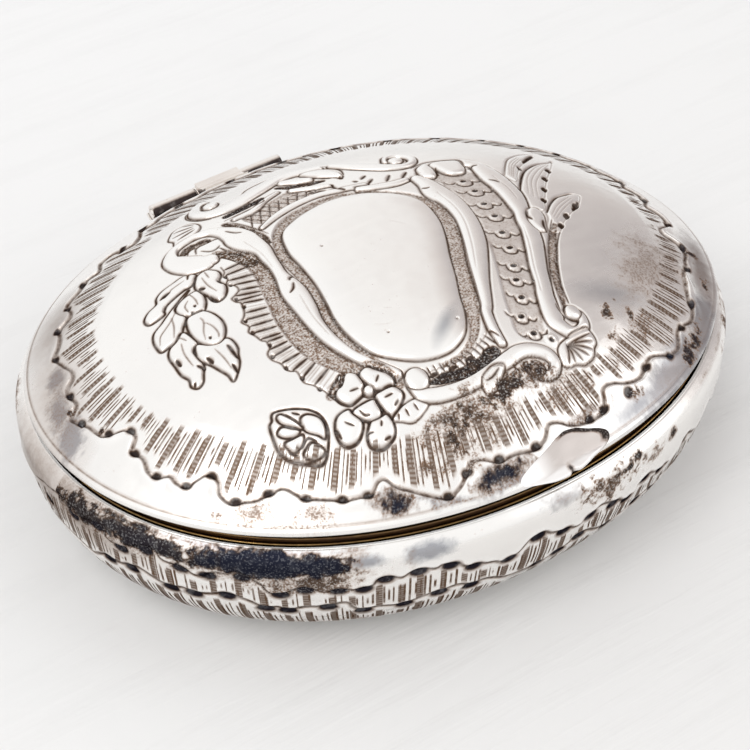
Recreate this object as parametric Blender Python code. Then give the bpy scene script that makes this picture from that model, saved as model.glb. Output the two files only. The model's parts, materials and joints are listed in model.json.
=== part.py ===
"""Oval silver keepsake box: a raised, round-bellied base and a domed lid on a small knuckle hinge.

Metres, +Z up. The origin is the middle of the flat that the box stands on, X runs along the
length, the hinge is at +Y and the thumbpiece at -Y. At rest the lid stands a little ajar, as a
worn lid does: its pieces are shaped shut and then turned on the hinge axis by LID_AJAR.
"""

import math

import bmesh
import bpy
import numpy as np

MM = 0.001

# Plan of the mouth, which the lid's edge repeats
LENGTH = 84.0 * MM
WIDTH = 69.2 * MM
OVAL_POWER = 2.07  # 2 is an ellipse, more is squarer

# Base bowl
BELLY_HEIGHT = 15.0 * MM  # of the widest place
MOUTH_ABOVE_BELLY = 1.8 * MM
BOWL_WALL = 0.8 * MM
BELLY_BULGE = 1.2 * MM
FOOT_LENGTH = 55.5 * MM
FOOT_WIDTH = 42.0 * MM
BELLY_POWER = 2.3  # fullness of the curve from the belly down to the foot

# Bezel, the collar inside the mouth
BEZEL_WALL = 0.6 * MM
BEZEL_DEPTH = 3.2 * MM
BEZEL_STAND = 0.6 * MM

# Lid
LID_RISE = 11.6 * MM
LID_POWER = 2.95  # more gives a flatter crown and a steeper shoulder
LID_WALL = 0.7 * MM
LID_EDGE = 0.5 * MM
SEAT_GAP = 0.3 * MM  # mouth to lid edge when shut
LID_AJAR = math.radians(1.35)

# Reserve, the raised plain panel on the crown: a long round-ended pear, lying askew
RESERVE_RISE = 0.55 * MM
RESERVE_SHOULDER = 3.0 * MM
RESERVE_HEAD = (-0.6 * MM, 0.6 * MM)
RESERVE_HEAD_RADIUS = 8.9 * MM
RESERVE_TAIL = (-6.0 * MM, -13.9 * MM)
RESERVE_TAIL_RADIUS = 6.3 * MM

# Hinge
HINGE_OFF_CENTRE = 1.3 * MM  # towards +X, as the hand-set hinge lies
HINGE_SETBACK = 1.1 * MM  # pin axis behind the lid's edge
HINGE_ABOVE_MOUTH = 0.6 * MM
KNUCKLE_RADIUS = 0.95 * MM
BORE_RADIUS = 0.55 * MM
PIN_RADIUS = 0.4 * MM
PIN_END = 0.15 * MM  # how far each end of the pin stands out
LID_KNUCKLE_LENGTH = 6.3 * MM
BASE_KNUCKLE_LENGTH = 6.2 * MM
KNUCKLE_GAP = 0.2 * MM
PIN_TIP_SHARE = 0.6  # of the pin's radius, at its rounded ends
BEARER_WALL = 0.45 * MM
BASE_BEARER_DROP = 2.8 * MM  # from the pin axis down the base's wall
LID_BEARER_REACH = 1.5 * MM  # from the lid's edge in over its shoulder
LID_BEARER_SHARES = (1.0, 0.6, 0.2)  # of that reach, where the strap's underside has points
# Degrees round the pin axis, from +Y up. The strap stops at 90 so that it clears the base's
# strip, which stops at -30, when the lid is fully open.
BASE_SEAT_ANGLES = (-85, -70, -55, -40, -30)
BASE_BACK_ANGLES = (-30, -45, -65)
LID_SEAT_ANGLES = (135, 120, 105, 90)
LID_CROWN_ANGLES = (90, 105, 120)

# Thumbpiece
THUMB_WIDTH = 13.6 * MM
THUMB_OFF_CENTRE = -0.4 * MM
THUMB_REACH = 4.2 * MM  # in over the lid from its edge
THUMB_LIP = 1.1 * MM  # out past the lid's edge
THUMB_WALL = 0.5 * MM
THUMB_DROOP = 0.25 * MM  # fall of the lip from the lid's edge to its tip
THUMB_SIDE_SHARE = 0.25  # of the reach that is left at the plate's two ends
THUMB_END_SHARE = 0.96  # of the half width at which the plate is cut off
THUMB_DEPTH_SHARES = (0.0, 0.35, 0.7, 1.0)

SEAM = 0.3 * MM  # solder seam between two pieces

# Facets
COLUMNS = 72
ROUND_SIDES = 24
BOWL_LOOP_ANGLE = 10  # degrees of the belly's quarter turn between two loops
MOUTH_LOOP_SHARES = (0.5, 1.0)  # of the way from the belly up to the mouth
LID_LOOPS = 24
LID_CROWN_SHARE = 0.02  # of the oval that the flat middle facet takes
LINING_LOOPS = 11
LINING_CROWN_SHARE = 0.04
BASE_BEARER_STATIONS = 9
LID_BEARER_STATIONS = 5
THUMB_STATIONS = 11
HALVINGS = 40  # steps of the search for the lining's edge
SHARP_ANGLE = math.radians(35)

MATERIALS = {
    "silver": ((0.83, 0.81, 0.79, 1.0), 0.24, 1.0),
    "gilt": ((0.52, 0.36, 0.16, 1.0), 0.38, 1.0),
    "hinge_silver": ((0.70, 0.66, 0.62, 1.0), 0.32, 1.0),
    "steel_pin": ((0.42, 0.40, 0.38, 1.0), 0.35, 1.0),
}

BASE_HEIGHT = BELLY_HEIGHT + MOUTH_ABOVE_BELLY
HINGE_AXIS = (HINGE_OFF_CENTRE, WIDTH / 2 + HINGE_SETBACK, BASE_HEIGHT + HINGE_ABOVE_MOUTH)
LID_EDGE_HEIGHT = BASE_HEIGHT + SEAT_GAP
LID_SHOULDER_HEIGHT = LID_EDGE_HEIGHT + LID_EDGE


def clear_scene():
    for obj in list(bpy.data.objects):
        bpy.data.objects.remove(obj)


def make_material(name):
    """A Principled material with the named piece's colour, roughness and metallic value."""
    colour, roughness, metallic = MATERIALS[name]
    material = bpy.data.materials.new(name)
    material.use_nodes = True
    shader = material.node_tree.nodes["Principled BSDF"]
    shader.inputs["Base Color"].default_value = colour
    shader.inputs["Roughness"].default_value = roughness
    shader.inputs["Metallic"].default_value = metallic
    return material


def loft(name, loops, material, closed=False):
    """A solid skinned over loops of equal length, capped at both ends, or with the last loop
    joined to the first where closed is set."""
    form = bmesh.new()
    rings = [[form.verts.new(point) for point in loop] for loop in loops]
    pairs = list(zip(rings, rings[1:]))
    if closed:
        pairs.append((rings[-1], rings[0]))
    for low, high in pairs:
        for i in range(len(low)):
            j = (i + 1) % len(low)
            form.faces.new((low[i], low[j], high[j], high[i]))
    if not closed:
        form.faces.new(rings[0])
        form.faces.new(rings[-1])
    bmesh.ops.recalc_face_normals(form, faces=form.faces)
    if form.calc_volume(signed=True) < 0:
        bmesh.ops.reverse_faces(form, faces=form.faces)
    mesh = bpy.data.meshes.new(name)
    form.to_mesh(mesh)
    form.free()
    mesh.shade_smooth()
    mesh.set_sharp_from_angle(angle=SHARP_ANGLE)
    obj = bpy.data.objects.new(name, mesh)
    bpy.context.scene.collection.objects.link(obj)
    obj.data.materials.append(material)
    return obj


def oval(half_length, half_width, height):
    """One level loop of the plan's superellipse; height is one value or one for each column."""
    turn = np.arange(COLUMNS) * 2 * math.pi / COLUMNS
    across, along = np.cos(turn), np.sin(turn)
    x = half_length * np.sign(across) * np.abs(across) ** (2 / OVAL_POWER)
    y = half_width * np.sign(along) * np.abs(along) ** (2 / OVAL_POWER)
    return np.stack([x, y, np.zeros(COLUMNS) + height], axis=1)


def circle(radius, station):
    """A loop round the hinge axis, at a station counted from the hinge's middle."""
    turn = np.arange(ROUND_SIDES) * 2 * math.pi / ROUND_SIDES
    y = HINGE_AXIS[1] + radius * np.cos(turn)
    z = HINGE_AXIS[2] + radius * np.sin(turn)
    return np.stack([np.zeros(ROUND_SIDES) + HINGE_AXIS[0] + station, y, z], axis=1)


def bowl_halves(height):
    """Half length and half width of the bowl's outer skin at a height: a quarter superellipse
    from the foot up to the belly, then a parabola in to the mouth."""
    if height >= BELLY_HEIGHT:
        climb = (height - BELLY_HEIGHT) / MOUTH_ABOVE_BELLY
        swell = BELLY_BULGE * (1 - climb**2)
        return LENGTH / 2 + swell, WIDTH / 2 + swell
    fall = 1 - height / BELLY_HEIGHT
    share = (1 - fall**BELLY_POWER) ** (1 / BELLY_POWER)
    belly = (LENGTH / 2 + BELLY_BULGE, WIDTH / 2 + BELLY_BULGE)
    foot = (FOOT_LENGTH / 2, FOOT_WIDTH / 2)
    return tuple(low + (full - low) * share for low, full in zip(foot, belly))


def bowl_levels():
    """Heights of the bowl's loops: close together where the skin turns, at foot and mouth."""
    rise_shares = [1 - math.cos(math.radians(angle)) for angle in range(0, 91, BOWL_LOOP_ANGLE)]
    lower = [BELLY_HEIGHT * share for share in rise_shares]
    return lower + [BELLY_HEIGHT + MOUTH_ABOVE_BELLY * share for share in MOUTH_LOOP_SHARES]


def make_bowl(material):
    levels = bowl_levels()
    halves = np.array([bowl_halves(height) for height in levels])
    mean = halves.mean(axis=1)
    run, rise = np.gradient(mean), np.gradient(np.array(levels))
    run[0], rise[0] = 1.0, 0.0
    run[-1], rise[-1] = 0.0, 1.0
    size = np.hypot(run, rise)
    inward, upward = rise / size, run / size
    outer = [oval(*half, height) for half, height in zip(halves, levels)]
    inner = [
        oval(*(half - BOWL_WALL * side), height + BOWL_WALL * up)
        for half, height, side, up in zip(halves, levels, inward, upward)
    ]
    return loft("base_bowl", outer + inner[::-1], material)


def make_bezel(material):
    inset = BOWL_WALL + SEAM
    low, high = BASE_HEIGHT - BEZEL_DEPTH, BASE_HEIGHT + BEZEL_STAND
    outside = (LENGTH / 2 - inset, WIDTH / 2 - inset)
    inside = tuple(half - BEZEL_WALL for half in outside)
    loops = [oval(*outside, low), oval(*outside, high), oval(*inside, high), oval(*inside, low)]
    return loft("bezel", loops, material, closed=True)


def reserve_height(x, y):
    """Rise of the plain panel over the crown: a quarter round up from its outline, which is the
    hull of two unlike circles."""
    head, tail = np.array(RESERVE_HEAD), np.array(RESERVE_TAIL)
    axis = tail - head
    reach = np.hypot(*axis)
    unit = axis / reach
    along = (x - head[0]) * unit[0] + (y - head[1]) * unit[1]
    across = np.abs((x - head[0]) * unit[1] - (y - head[1]) * unit[0])
    lean = (RESERVE_HEAD_RADIUS - RESERVE_TAIL_RADIUS) / reach
    upright = math.sqrt(1 - lean**2)
    side = along * upright - across * lean
    past_head = np.hypot(along, across) - RESERVE_HEAD_RADIUS
    past_tail = np.hypot(along - reach, across) - RESERVE_TAIL_RADIUS
    flank = across * upright + along * lean - RESERVE_HEAD_RADIUS
    outside = np.where(side < 0, past_head, np.where(side > reach * upright, past_tail, flank))
    depth = np.clip(-outside / RESERVE_SHOULDER, 0, 1)
    return RESERVE_RISE * np.sqrt(1 - (1 - depth) ** 2)


def lid_height(share):
    """Height of the shut lid's outer skin where the plan's oval is drawn in to this share."""
    return LID_SHOULDER_HEIGHT + LID_RISE * (1 - share**LID_POWER)


def lid_lining_height(share):
    """Height of the lid's inner skin: the outer skin less the wall, measured square to it."""
    mean_half = (LENGTH + WIDTH) / 4
    slope = LID_RISE * LID_POWER * share ** (LID_POWER - 1) / mean_half
    return lid_height(share) - LID_WALL * math.hypot(1, slope)


def lining_edge_share():
    """Share of the oval at which the lid's inner skin comes down to the level of its edge."""
    low, high = 0.5, 1.0
    for _ in range(HALVINGS):
        middle = (low + high) / 2
        if lid_lining_height(middle) > LID_EDGE_HEIGHT:
            low = middle
        else:
            high = middle
    return low


def lid_loop(share, height, with_reserve=False):
    loop = oval(LENGTH / 2 * share, WIDTH / 2 * share, height)
    if with_reserve:
        loop[:, 2] += reserve_height(loop[:, 0], loop[:, 1])
    return loop


def make_lid(material):
    outer_shares = np.linspace(LID_CROWN_SHARE, 1.0, LID_LOOPS)
    loops = [lid_loop(share, lid_height(share), with_reserve=True) for share in outer_shares]
    loops.append(lid_loop(1.0, LID_EDGE_HEIGHT))
    edge_share = lining_edge_share()
    loops.append(lid_loop(edge_share, LID_EDGE_HEIGHT))
    for share in np.linspace(edge_share, LINING_CROWN_SHARE, LINING_LOOPS + 1)[1:]:
        loops.append(lid_loop(share, lid_lining_height(share)))
    return loft("lid_shell", loops, material)


def make_tube(name, start, end, material):
    loops = [
        circle(KNUCKLE_RADIUS, start),
        circle(KNUCKLE_RADIUS, end),
        circle(BORE_RADIUS, end),
        circle(BORE_RADIUS, start),
    ]
    return loft(name, loops, material, closed=True)


def make_pin(material):
    half = LID_KNUCKLE_LENGTH / 2 + KNUCKLE_GAP + BASE_KNUCKLE_LENGTH
    tip = PIN_RADIUS * PIN_TIP_SHARE
    loops = [
        circle(tip, -half - PIN_END),
        circle(PIN_RADIUS, -half),
        circle(PIN_RADIUS, half),
        circle(tip, half + PIN_END),
    ]
    return loft("hinge_pin", loops, material)


def round_axis(radius, degrees):
    """Points of a cross-section on an arc round the hinge axis, as (y, z)."""
    turns = [math.radians(angle) for angle in degrees]
    return [
        (HINGE_AXIS[1] + radius * math.cos(turn), HINGE_AXIS[2] + radius * math.sin(turn))
        for turn in turns
    ]


def oval_y(x, half_length, half_width):
    """How far from the long axis the superellipse lies at this x."""
    return half_width * (1 - abs(x / half_length) ** OVAL_POWER) ** (1 / OVAL_POWER)


def make_base_bearer(material):
    """The strip under the knuckles: its front follows the bowl's wall, its top is hollowed to the
    knuckles' round and its back tapers down to the wall."""
    half = LID_KNUCKLE_LENGTH / 2 + KNUCKLE_GAP + BASE_KNUCKLE_LENGTH
    lowest = HINGE_AXIS[2] - BASE_BEARER_DROP
    seat = KNUCKLE_RADIUS + SEAM
    seat_floor = HINGE_AXIS[2] - seat
    sections = []
    for x in HINGE_AXIS[0] + np.linspace(-half, half, BASE_BEARER_STATIONS):
        front = []
        for level_share in (0.0, 0.5, 1.0):
            z = lowest + (seat_floor - BEARER_WALL / 2 - lowest) * level_share
            front.append((oval_y(x, *bowl_halves(z)) + SEAM, z))
        hollow = round_axis(seat, BASE_SEAT_ANGLES)
        back = round_axis(seat + BEARER_WALL, BASE_BACK_ANGLES)
        toe = [(front[0][0] + BEARER_WALL / 2, lowest - BEARER_WALL / 2)]
        sections.append([(x, y, z) for y, z in front + hollow + back + toe])
    return loft("base_hinge_bearer", sections, material)


def make_lid_bearer(material):
    """The strap from the lid's back shoulder over the lid's knuckle: flat on the shoulder, then
    hollowed to the knuckle's round."""
    half = LID_KNUCKLE_LENGTH / 2
    seat = KNUCKLE_RADIUS + SEAM
    sections = []
    for x in HINGE_AXIS[0] + np.linspace(-half, half, LID_BEARER_STATIONS):
        edge = oval_y(x, LENGTH / 2, WIDTH / 2)
        shoulder = []
        for reach_share in LID_BEARER_SHARES:
            y = edge - LID_BEARER_REACH * reach_share
            shoulder.append((y, lid_height(y / edge) + SEAM))
        top = [(y, z + BEARER_WALL) for y, z in shoulder[1::-1]]
        hollow = round_axis(seat, LID_SEAT_ANGLES)
        crown = round_axis(seat + BEARER_WALL, LID_CROWN_ANGLES)
        sections.append([(x, y, z) for y, z in shoulder + hollow + crown + top])
    return loft("lid_hinge_bearer", sections, material)


def make_thumbpiece(material):
    """A shield-shaped plate on the front shoulder, its lip reaching out over the mouth."""
    sections = []
    for spread in np.linspace(-THUMB_END_SHARE, THUMB_END_SHARE, THUMB_STATIONS):
        x = THUMB_OFF_CENTRE + THUMB_WIDTH / 2 * spread
        edge = oval_y(x, LENGTH / 2, WIDTH / 2)
        fullness = math.sqrt(1 - spread**2)
        inner = edge - THUMB_REACH * (THUMB_SIDE_SHARE + (1 - THUMB_SIDE_SHARE) * fullness)
        outer = edge + THUMB_LIP * fullness - THUMB_LIP / 2 * (1 - fullness)
        below, above = [], []
        for depth_share in THUMB_DEPTH_SHARES:
            y = inner + (outer - inner) * depth_share
            share = min(y / edge, 1.0)
            past = max(y - edge, 0.0) / THUMB_LIP
            z = lid_height(share) + SEAM - THUMB_DROOP * past
            below.append((x, -y, z))
            above.append((x, -y, z + THUMB_WALL))
        sections.append(below + above[::-1])
    return loft("thumbpiece", sections, material)


def hang_on_hinge(pieces):
    """Parents the lid's pieces to an empty on the pin axis and turns it to the ajar rest."""
    axis = bpy.data.objects.new("lid_hinge_axis", None)
    bpy.context.scene.collection.objects.link(axis)
    axis.location = HINGE_AXIS
    axis.rotation_euler = (-LID_AJAR, 0.0, 0.0)
    for piece in pieces:
        piece.parent = axis
        piece.location = tuple(-place for place in HINGE_AXIS)


def build():
    clear_scene()
    silver, gilt = make_material("silver"), make_material("gilt")
    hinge_silver, steel_pin = make_material("hinge_silver"), make_material("steel_pin")
    make_bowl(silver)
    make_bezel(gilt)
    make_base_bearer(hinge_silver)
    inner_end = LID_KNUCKLE_LENGTH / 2
    near, far = inner_end + KNUCKLE_GAP, inner_end + KNUCKLE_GAP + BASE_KNUCKLE_LENGTH
    make_tube("base_knuckle_left", -far, -near, hinge_silver)
    make_tube("base_knuckle_right", near, far, hinge_silver)
    make_pin(steel_pin)
    lid_pieces = [
        make_lid(silver),
        make_lid_bearer(hinge_silver),
        make_tube("lid_knuckle", -inner_end, inner_end, hinge_silver),
        make_thumbpiece(silver),
    ]
    hang_on_hinge(lid_pieces)


build()
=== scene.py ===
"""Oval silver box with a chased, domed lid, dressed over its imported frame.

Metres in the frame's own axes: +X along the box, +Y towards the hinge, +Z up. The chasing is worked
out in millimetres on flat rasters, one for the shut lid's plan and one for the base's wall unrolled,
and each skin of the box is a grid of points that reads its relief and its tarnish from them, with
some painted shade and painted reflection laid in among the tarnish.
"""

import json
import math

import bpy
import numpy as np
from mathutils import Matrix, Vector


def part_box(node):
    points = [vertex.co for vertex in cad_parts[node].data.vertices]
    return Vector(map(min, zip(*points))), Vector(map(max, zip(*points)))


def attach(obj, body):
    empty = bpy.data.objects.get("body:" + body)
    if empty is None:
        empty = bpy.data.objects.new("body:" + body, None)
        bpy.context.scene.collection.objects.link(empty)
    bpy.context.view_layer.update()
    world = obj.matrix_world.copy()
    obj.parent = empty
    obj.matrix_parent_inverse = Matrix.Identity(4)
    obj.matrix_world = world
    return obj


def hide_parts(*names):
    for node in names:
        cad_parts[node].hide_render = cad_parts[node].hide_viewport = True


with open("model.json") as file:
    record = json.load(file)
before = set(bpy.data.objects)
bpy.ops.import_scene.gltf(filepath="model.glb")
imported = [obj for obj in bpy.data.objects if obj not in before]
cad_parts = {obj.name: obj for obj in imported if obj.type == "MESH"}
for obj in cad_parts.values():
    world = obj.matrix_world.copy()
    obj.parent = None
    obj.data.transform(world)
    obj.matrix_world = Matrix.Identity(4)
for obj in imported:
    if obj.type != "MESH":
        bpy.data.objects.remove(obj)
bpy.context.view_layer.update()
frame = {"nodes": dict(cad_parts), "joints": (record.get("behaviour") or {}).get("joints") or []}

MM = 0.001

# The box's form, in millimetres, as the frame has it
OVAL_POWER = 2.07
HALF_LENGTH, HALF_WIDTH = 42.0, 34.6
BELLY_HEIGHT, MOUTH_HEIGHT = 15.0, 16.8
BELLY_BULGE, BELLY_POWER = 1.2, 2.3
FOOT_HALVES = (27.75, 21.0)
BOWL_WALL = 0.8
LID_EDGE_HEIGHT, LID_EDGE = 17.1, 0.5
LID_RISE, LID_POWER, LID_WALL = 11.6, 2.95, 0.7
LID_AJAR = math.radians(1.35)
HINGE = np.array(frame["joints"][0]["pos_m"]) / MM
KNUCKLE_RADIUS, KNUCKLE_BORE = 0.95, 0.55
BEZEL_HALVES, BEZEL_WALL = (40.9, 33.5), 0.6
BEZEL_LOW, BEZEL_TOP = 13.6, 17.4

# The chasing's rasters, and the cells of the noises that fleck matted ground and break up tarnish
RASTER_STEP = 0.08
FLECK_CELLS, MOTTLE_CELLS = (0.5, 0.2), (2.4, 0.9)

# Raised shapes: their soft edge, the depth of the line round them, how much of the height that is
# asked for they get, how round a bar's section is, and the plain panel's rise and shoulder
SOFT_EDGE, LINE_DEPTH = 0.12, 0.1
CROWN_SHARE, BAR_ROUNDNESS = 0.62, 0.45
RESERVE_RISE, RESERVE_SHOULDER = 0.55, 3.0

# Marks: how many widths a groove reaches, matted ground's soft edge and dark rim, how fast a
# punch's mark and a blotch end, and where a blotch starts to thin and is gone, in half sizes
GROOVE_REACH = 3
MAT_EDGE, MAT_RIM = 0.3, 0.25
MARK_FALL = 3
BLOTCH_THINS, BLOTCH_GONE = 1.2, 1.55

# Half sides of the squares that means are taken over, in raster steps; how much of the relief
# the lining shows; the height over the mean that is fully rubbed, and what hollows gather
NEAR_REACH, WIDE_REACH, LINING_REACH = 4, 9, 3
FAR_SIDE_SHARE = 0.58
RUBBED_HEIGHT, HOLLOW_START, HOLLOW_STAIN = 0.25, 0.15, 0.55

# Where the lid's skins change over, as shares of its oval
FIELD_SHARE, RING_SHARE, EDGE_START = 0.80, 0.90, 0.9965


# Curves and rasters

def catmull(points, closed=False, steps=7):
    """Points of a Catmull-Rom curve through given rows: each span is the cubic whose slope
    at a row is half the step between that row's neighbours. All columns are blended alike."""
    rows = np.asarray(points, float)
    if closed:
        ring = np.vstack([rows[-1:], rows, rows[:2]])
    else:
        ring = np.vstack([2 * rows[:1] - rows[1:2], rows, 2 * rows[-1:] - rows[-2:-1]])
    a, b, c, d = (ring[k:len(ring) - 3 + k, None, :] for k in range(4))
    t = (np.arange(steps) / steps)[None, :, None]
    curve = b + (c - a) * t / 2 + (2 * a - 5 * b + 4 * c - d) * t**2 / 2
    curve = (curve + (3 * b - a - 3 * c + d) * t**3 / 2).reshape(-1, rows.shape[1])
    return np.vstack([curve, rows[:1] if closed else rows[-1:]])


class Sheet:
    """A flat raster of silver being chased: its height over the plain form in mm, and how dark
    with tarnish (stain), how matted or pitted (grain) and how blue, from a film of tarnish and in
    places from painted reflection of dark surroundings (haze_and_reflection), each point is, from 0
    to 1, and how far inside a band of flutes it lies (reach, in mm, below 0 outside). On the lid the
    stain also holds painted shade, along the left of the line near its edge."""

    def __init__(self, x_range, y_range, seed):
        self.x = np.arange(x_range[0], x_range[1], RASTER_STEP)
        self.y = np.arange(y_range[0], y_range[1], RASTER_STEP)
        shape = (self.y.size, self.x.size)
        self.height, self.stain = np.zeros(shape), np.zeros(shape)
        self.grain, self.haze_and_reflection, self.reach = np.zeros(shape), np.zeros(shape), np.full(shape, -1.0)
        self.random = np.random.default_rng(seed)
        self.fleck = self.cloud(FLECK_CELLS[0]) * 0.5 + self.cloud(FLECK_CELLS[1]) * 0.5
        self.mottle = self.cloud(MOTTLE_CELLS[0]) * 0.3 + self.cloud(MOTTLE_CELLS[1]) * 0.25
        self.mottle = self.mottle + self.fleck * 0.45

    def cloud(self, cell):
        """Value noise: random values on a lattice of the given cell, blended between its points
        with a smoothstep."""
        rows, cols = (int(v[-1] / cell - v[0] / cell) + 3 for v in (self.y, self.x))
        lattice = self.random.random((rows, cols))
        row, down = np.divmod((self.y - self.y[0]) / cell, 1)
        col, right = np.divmod((self.x - self.x[0]) / cell, 1)
        row, col = row.astype(int)[:, None], col.astype(int)[None, :]
        down, right = (f * f * (3 - 2 * f) for f in (down[:, None], right[None, :]))
        top = lattice[row, col] * (1 - right) + lattice[row, col + 1] * right
        low = lattice[row + 1, col] * (1 - right) + lattice[row + 1, col + 1] * right
        return top * (1 - down) + low * down

    def window(self, path, reach):
        """The slices of the raster that lie within reach of a path, with their x and y."""
        low, high = path[:, :2].min(0) - reach, path[:, :2].max(0) + reach
        rows = slice(*np.searchsorted(self.y, (low[1], high[1])))
        cols = slice(*np.searchsorted(self.x, (low[0], high[0])))
        return (rows, cols), self.x[cols][None, :], self.y[rows][:, None]

    def nearest(self, path, reach):
        """The window round a path, each point's distance to it, and where along it the nearest
        place is, as a fractional row of the path."""
        place_in, x, y = self.window(path, reach)
        gap = np.full((y.size, x.size), np.inf)
        place = np.zeros_like(gap)
        for k, (start, end) in enumerate(zip(path[:-1, :2], path[1:, :2])):
            run = end - start
            size = max(run @ run, 1e-9)
            t = np.clip(((x - start[0]) * run[0] + (y - start[1]) * run[1]) / size, 0, 1)
            new = (x - start[0] - t * run[0]) ** 2 + (y - start[1] - t * run[1]) ** 2
            place = np.where(new < gap, k + t, place)
            gap = np.minimum(new, gap)
        return place_in, np.sqrt(gap), place

    def inside(self, path, reach):
        """The window round a closed path, and each point's depth inside it, negative outside:
        the distance to the path, signed by the even-odd rule."""
        place_in, gap, _ = self.nearest(path, reach)
        x, y = self.x[place_in[1]][None, :], self.y[place_in[0]][:, None]
        odd = np.zeros(gap.shape, bool)
        for start, end in zip(path[:-1], path[1:]):
            if start[1] != end[1]:
                crossing = start[0] + (y - start[1]) * (end[0] - start[0]) / (end[1] - start[1])
                odd ^= ((y < start[1]) != (y < end[1])) & (x < crossing)
        return place_in, np.where(odd, gap, -gap)

    def turned(self, x, y, turn, reach):
        """The window round a place, and how far each point lies from it along an axis turned by
        degrees and across that axis."""
        place_in, over, up = self.window(np.array([(x, y)]), reach)
        cos, sin = math.cos(math.radians(turn)), math.sin(math.radians(turn))
        return place_in, (over - x) * cos + (up - y) * sin, (up - y) * cos - (over - x) * sin

    def band(self, points, margin):
        """The window round a curve whose third column is its half width, each point's distance to
        the curve, and the half width there."""
        path = catmull(points)
        place_in, gap, place = self.nearest(path, path[:, 2].max() + margin)
        return place_in, gap, np.interp(place, np.arange(len(path)), path[:, 2])

    def darken(self, place_in, mark):
        """Raises the stain to a mark where it is less."""
        self.stain[place_in] = np.maximum(self.stain[place_in], mark)

    def sink(self, place_in, mark, depth, stain):
        """Lowers the sheet to a depth and darkens it, each by a mark from 0 to 1."""
        self.height[place_in] -= depth * mark
        self.darken(place_in, stain * mark)

    def cut(self, points, width=0.13, depth=0.1, stain=0.8, ends=0.35):
        """A chased line: a groove with a bell-shaped section along a curve, which thins towards
        its ends to a share of its width."""
        path = catmull(points)
        place_in, gap, place = self.nearest(path, GROOVE_REACH * width)
        along = place / (len(path) - 1)
        wide = width * (ends + (1 - ends) * np.sin(np.pi * np.clip(along, 0, 1)) ** 0.5)
        self.sink(place_in, np.exp(-((gap / wide) ** 2)), depth, stain)

    def swell(self, place_in, depth, crown, line, stain):
        """Raises the sheet to a crown where depth is positive, bright again, inside a dark line."""
        cover = np.clip(depth / SOFT_EDGE + 0.5, 0, 1)
        for field in (self.stain, self.grain, self.haze_and_reflection):
            field[place_in] *= 1 - cover
        self.height[place_in] = self.height[place_in] * (1 - cover) + crown * cover
        self.sink(place_in, np.exp(-(((depth + line / 2) / line) ** 2)), LINE_DEPTH, stain)

    def bar(self, points, height=0.45, line=0.14, stain=0.8):
        """A raised bar with a rounded section along a curve; the third column is its half width."""
        place_in, gap, half = self.band(points, 4 * line)
        crown = CROWN_SHARE * height * np.clip(1 - (gap / half) ** 2, 0, 1) ** BAR_ROUNDNESS
        self.swell(place_in, half - gap, crown, line, stain)

    def bead(self, x, y, radius, height=0.4, line=0.14, stain=0.8):
        """A round knob: a bar with next to no length."""
        self.bar([(x, y, radius), (x + 0.02, y, radius)], height, line, stain)

    def pad(self, outline, height=0.38, roll=0.8, line=0.13, stain=0.8):
        """A raised leaf or petal: inside a closed outline the sheet rises in a quarter round."""
        path = catmull(outline, closed=True)
        place_in, depth = self.inside(path, 4 * line)
        crown = CROWN_SHARE * height * np.sqrt(1 - (1 - np.clip(depth / roll, 0, 1)) ** 2)
        self.swell(place_in, depth, crown, line, stain)

    def mat(self, points, stain=0.45, grain=0.8, sink=0.16):
        """Matted ground along a curve whose third column is its half width, a little sunk."""
        place_in, gap, half = self.band(points, 1)
        self.lay(place_in, half - gap, stain, grain, sink)

    def mat_area(self, outline, stain=0.45, grain=0.8, sink=0.16):
        """Matted ground inside a closed outline."""
        place_in, depth = self.inside(catmull(outline, closed=True), 1)
        self.lay(place_in, depth, stain, grain, sink)

    def lay(self, place_in, depth, stain, grain, sink):
        """Matted ground where depth is positive, flecked, and darker along its edge."""
        cover = np.clip(depth / MAT_EDGE + 0.5, 0, 1)
        self.height[place_in] -= sink * cover
        fleck = np.clip(0.75 + 0.9 * self.fleck[place_in], 0.8, 1.5)
        edge = 1 + 0.5 * np.exp(-((depth / MAT_RIM) ** 2))
        self.darken(place_in, stain * cover * fleck * edge)
        self.grain[place_in] = np.maximum(self.grain[place_in], grain * cover)

    def punch(self, x, y, length, width, turn, depth=0.16, stain=0.85, haze_and_reflection=0.0):
        """A lens-shaped dint: an ellipse of the given length and width, turned by degrees."""
        place_in, along, across = self.turned(x, y, turn, length)
        out = np.sqrt((2 * along / length) ** 2 + (2 * across / width) ** 2)
        mark = np.clip((1 - out) * MARK_FALL, 0, 1)
        self.sink(place_in, mark, depth, stain)
        self.haze_and_reflection[place_in] = np.maximum(self.haze_and_reflection[place_in], haze_and_reflection * mark)

    # Besides tarnish, these blotches also lay painted reflection of dark surroundings: blue, with little or no
    # stain.
    def tarnish(self, x, y, half_x, half_y, stain, speckle=0.5, turn=0.0, haze_and_reflection=0.0):
        """A blotch: an ellipse that fades out from its middle, broken up by the sheet's mottle, and
        pitted, so that the silver's own fine grain breaks its thin parts into specks."""
        place_in, along, across = self.turned(x, y, turn, 1.6 * max(half_x, half_y))
        out = np.hypot(along / half_x, across / half_y)
        level = np.clip(BLOTCH_THINS - out + speckle * (self.mottle[place_in] - 0.5) * 4, 0, 1)
        level *= np.clip((BLOTCH_GONE - out) * MARK_FALL, 0, 1)
        self.darken(place_in, stain * level)
        grain = min(0.9, 1.1 * speckle) * np.clip(3 * level, 0, 1)
        self.grain[place_in] = np.maximum(self.grain[place_in], grain)
        self.haze_and_reflection[place_in] = np.maximum(self.haze_and_reflection[place_in], haze_and_reflection * level)

    def soften(self):
        """Blends each point of the relief with its neighbours, once each way."""
        for axis in (0, 1):
            beside = np.roll(self.height, 1, axis) + np.roll(self.height, -1, axis)
            self.height = (beside + 2 * self.height) / 4

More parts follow.
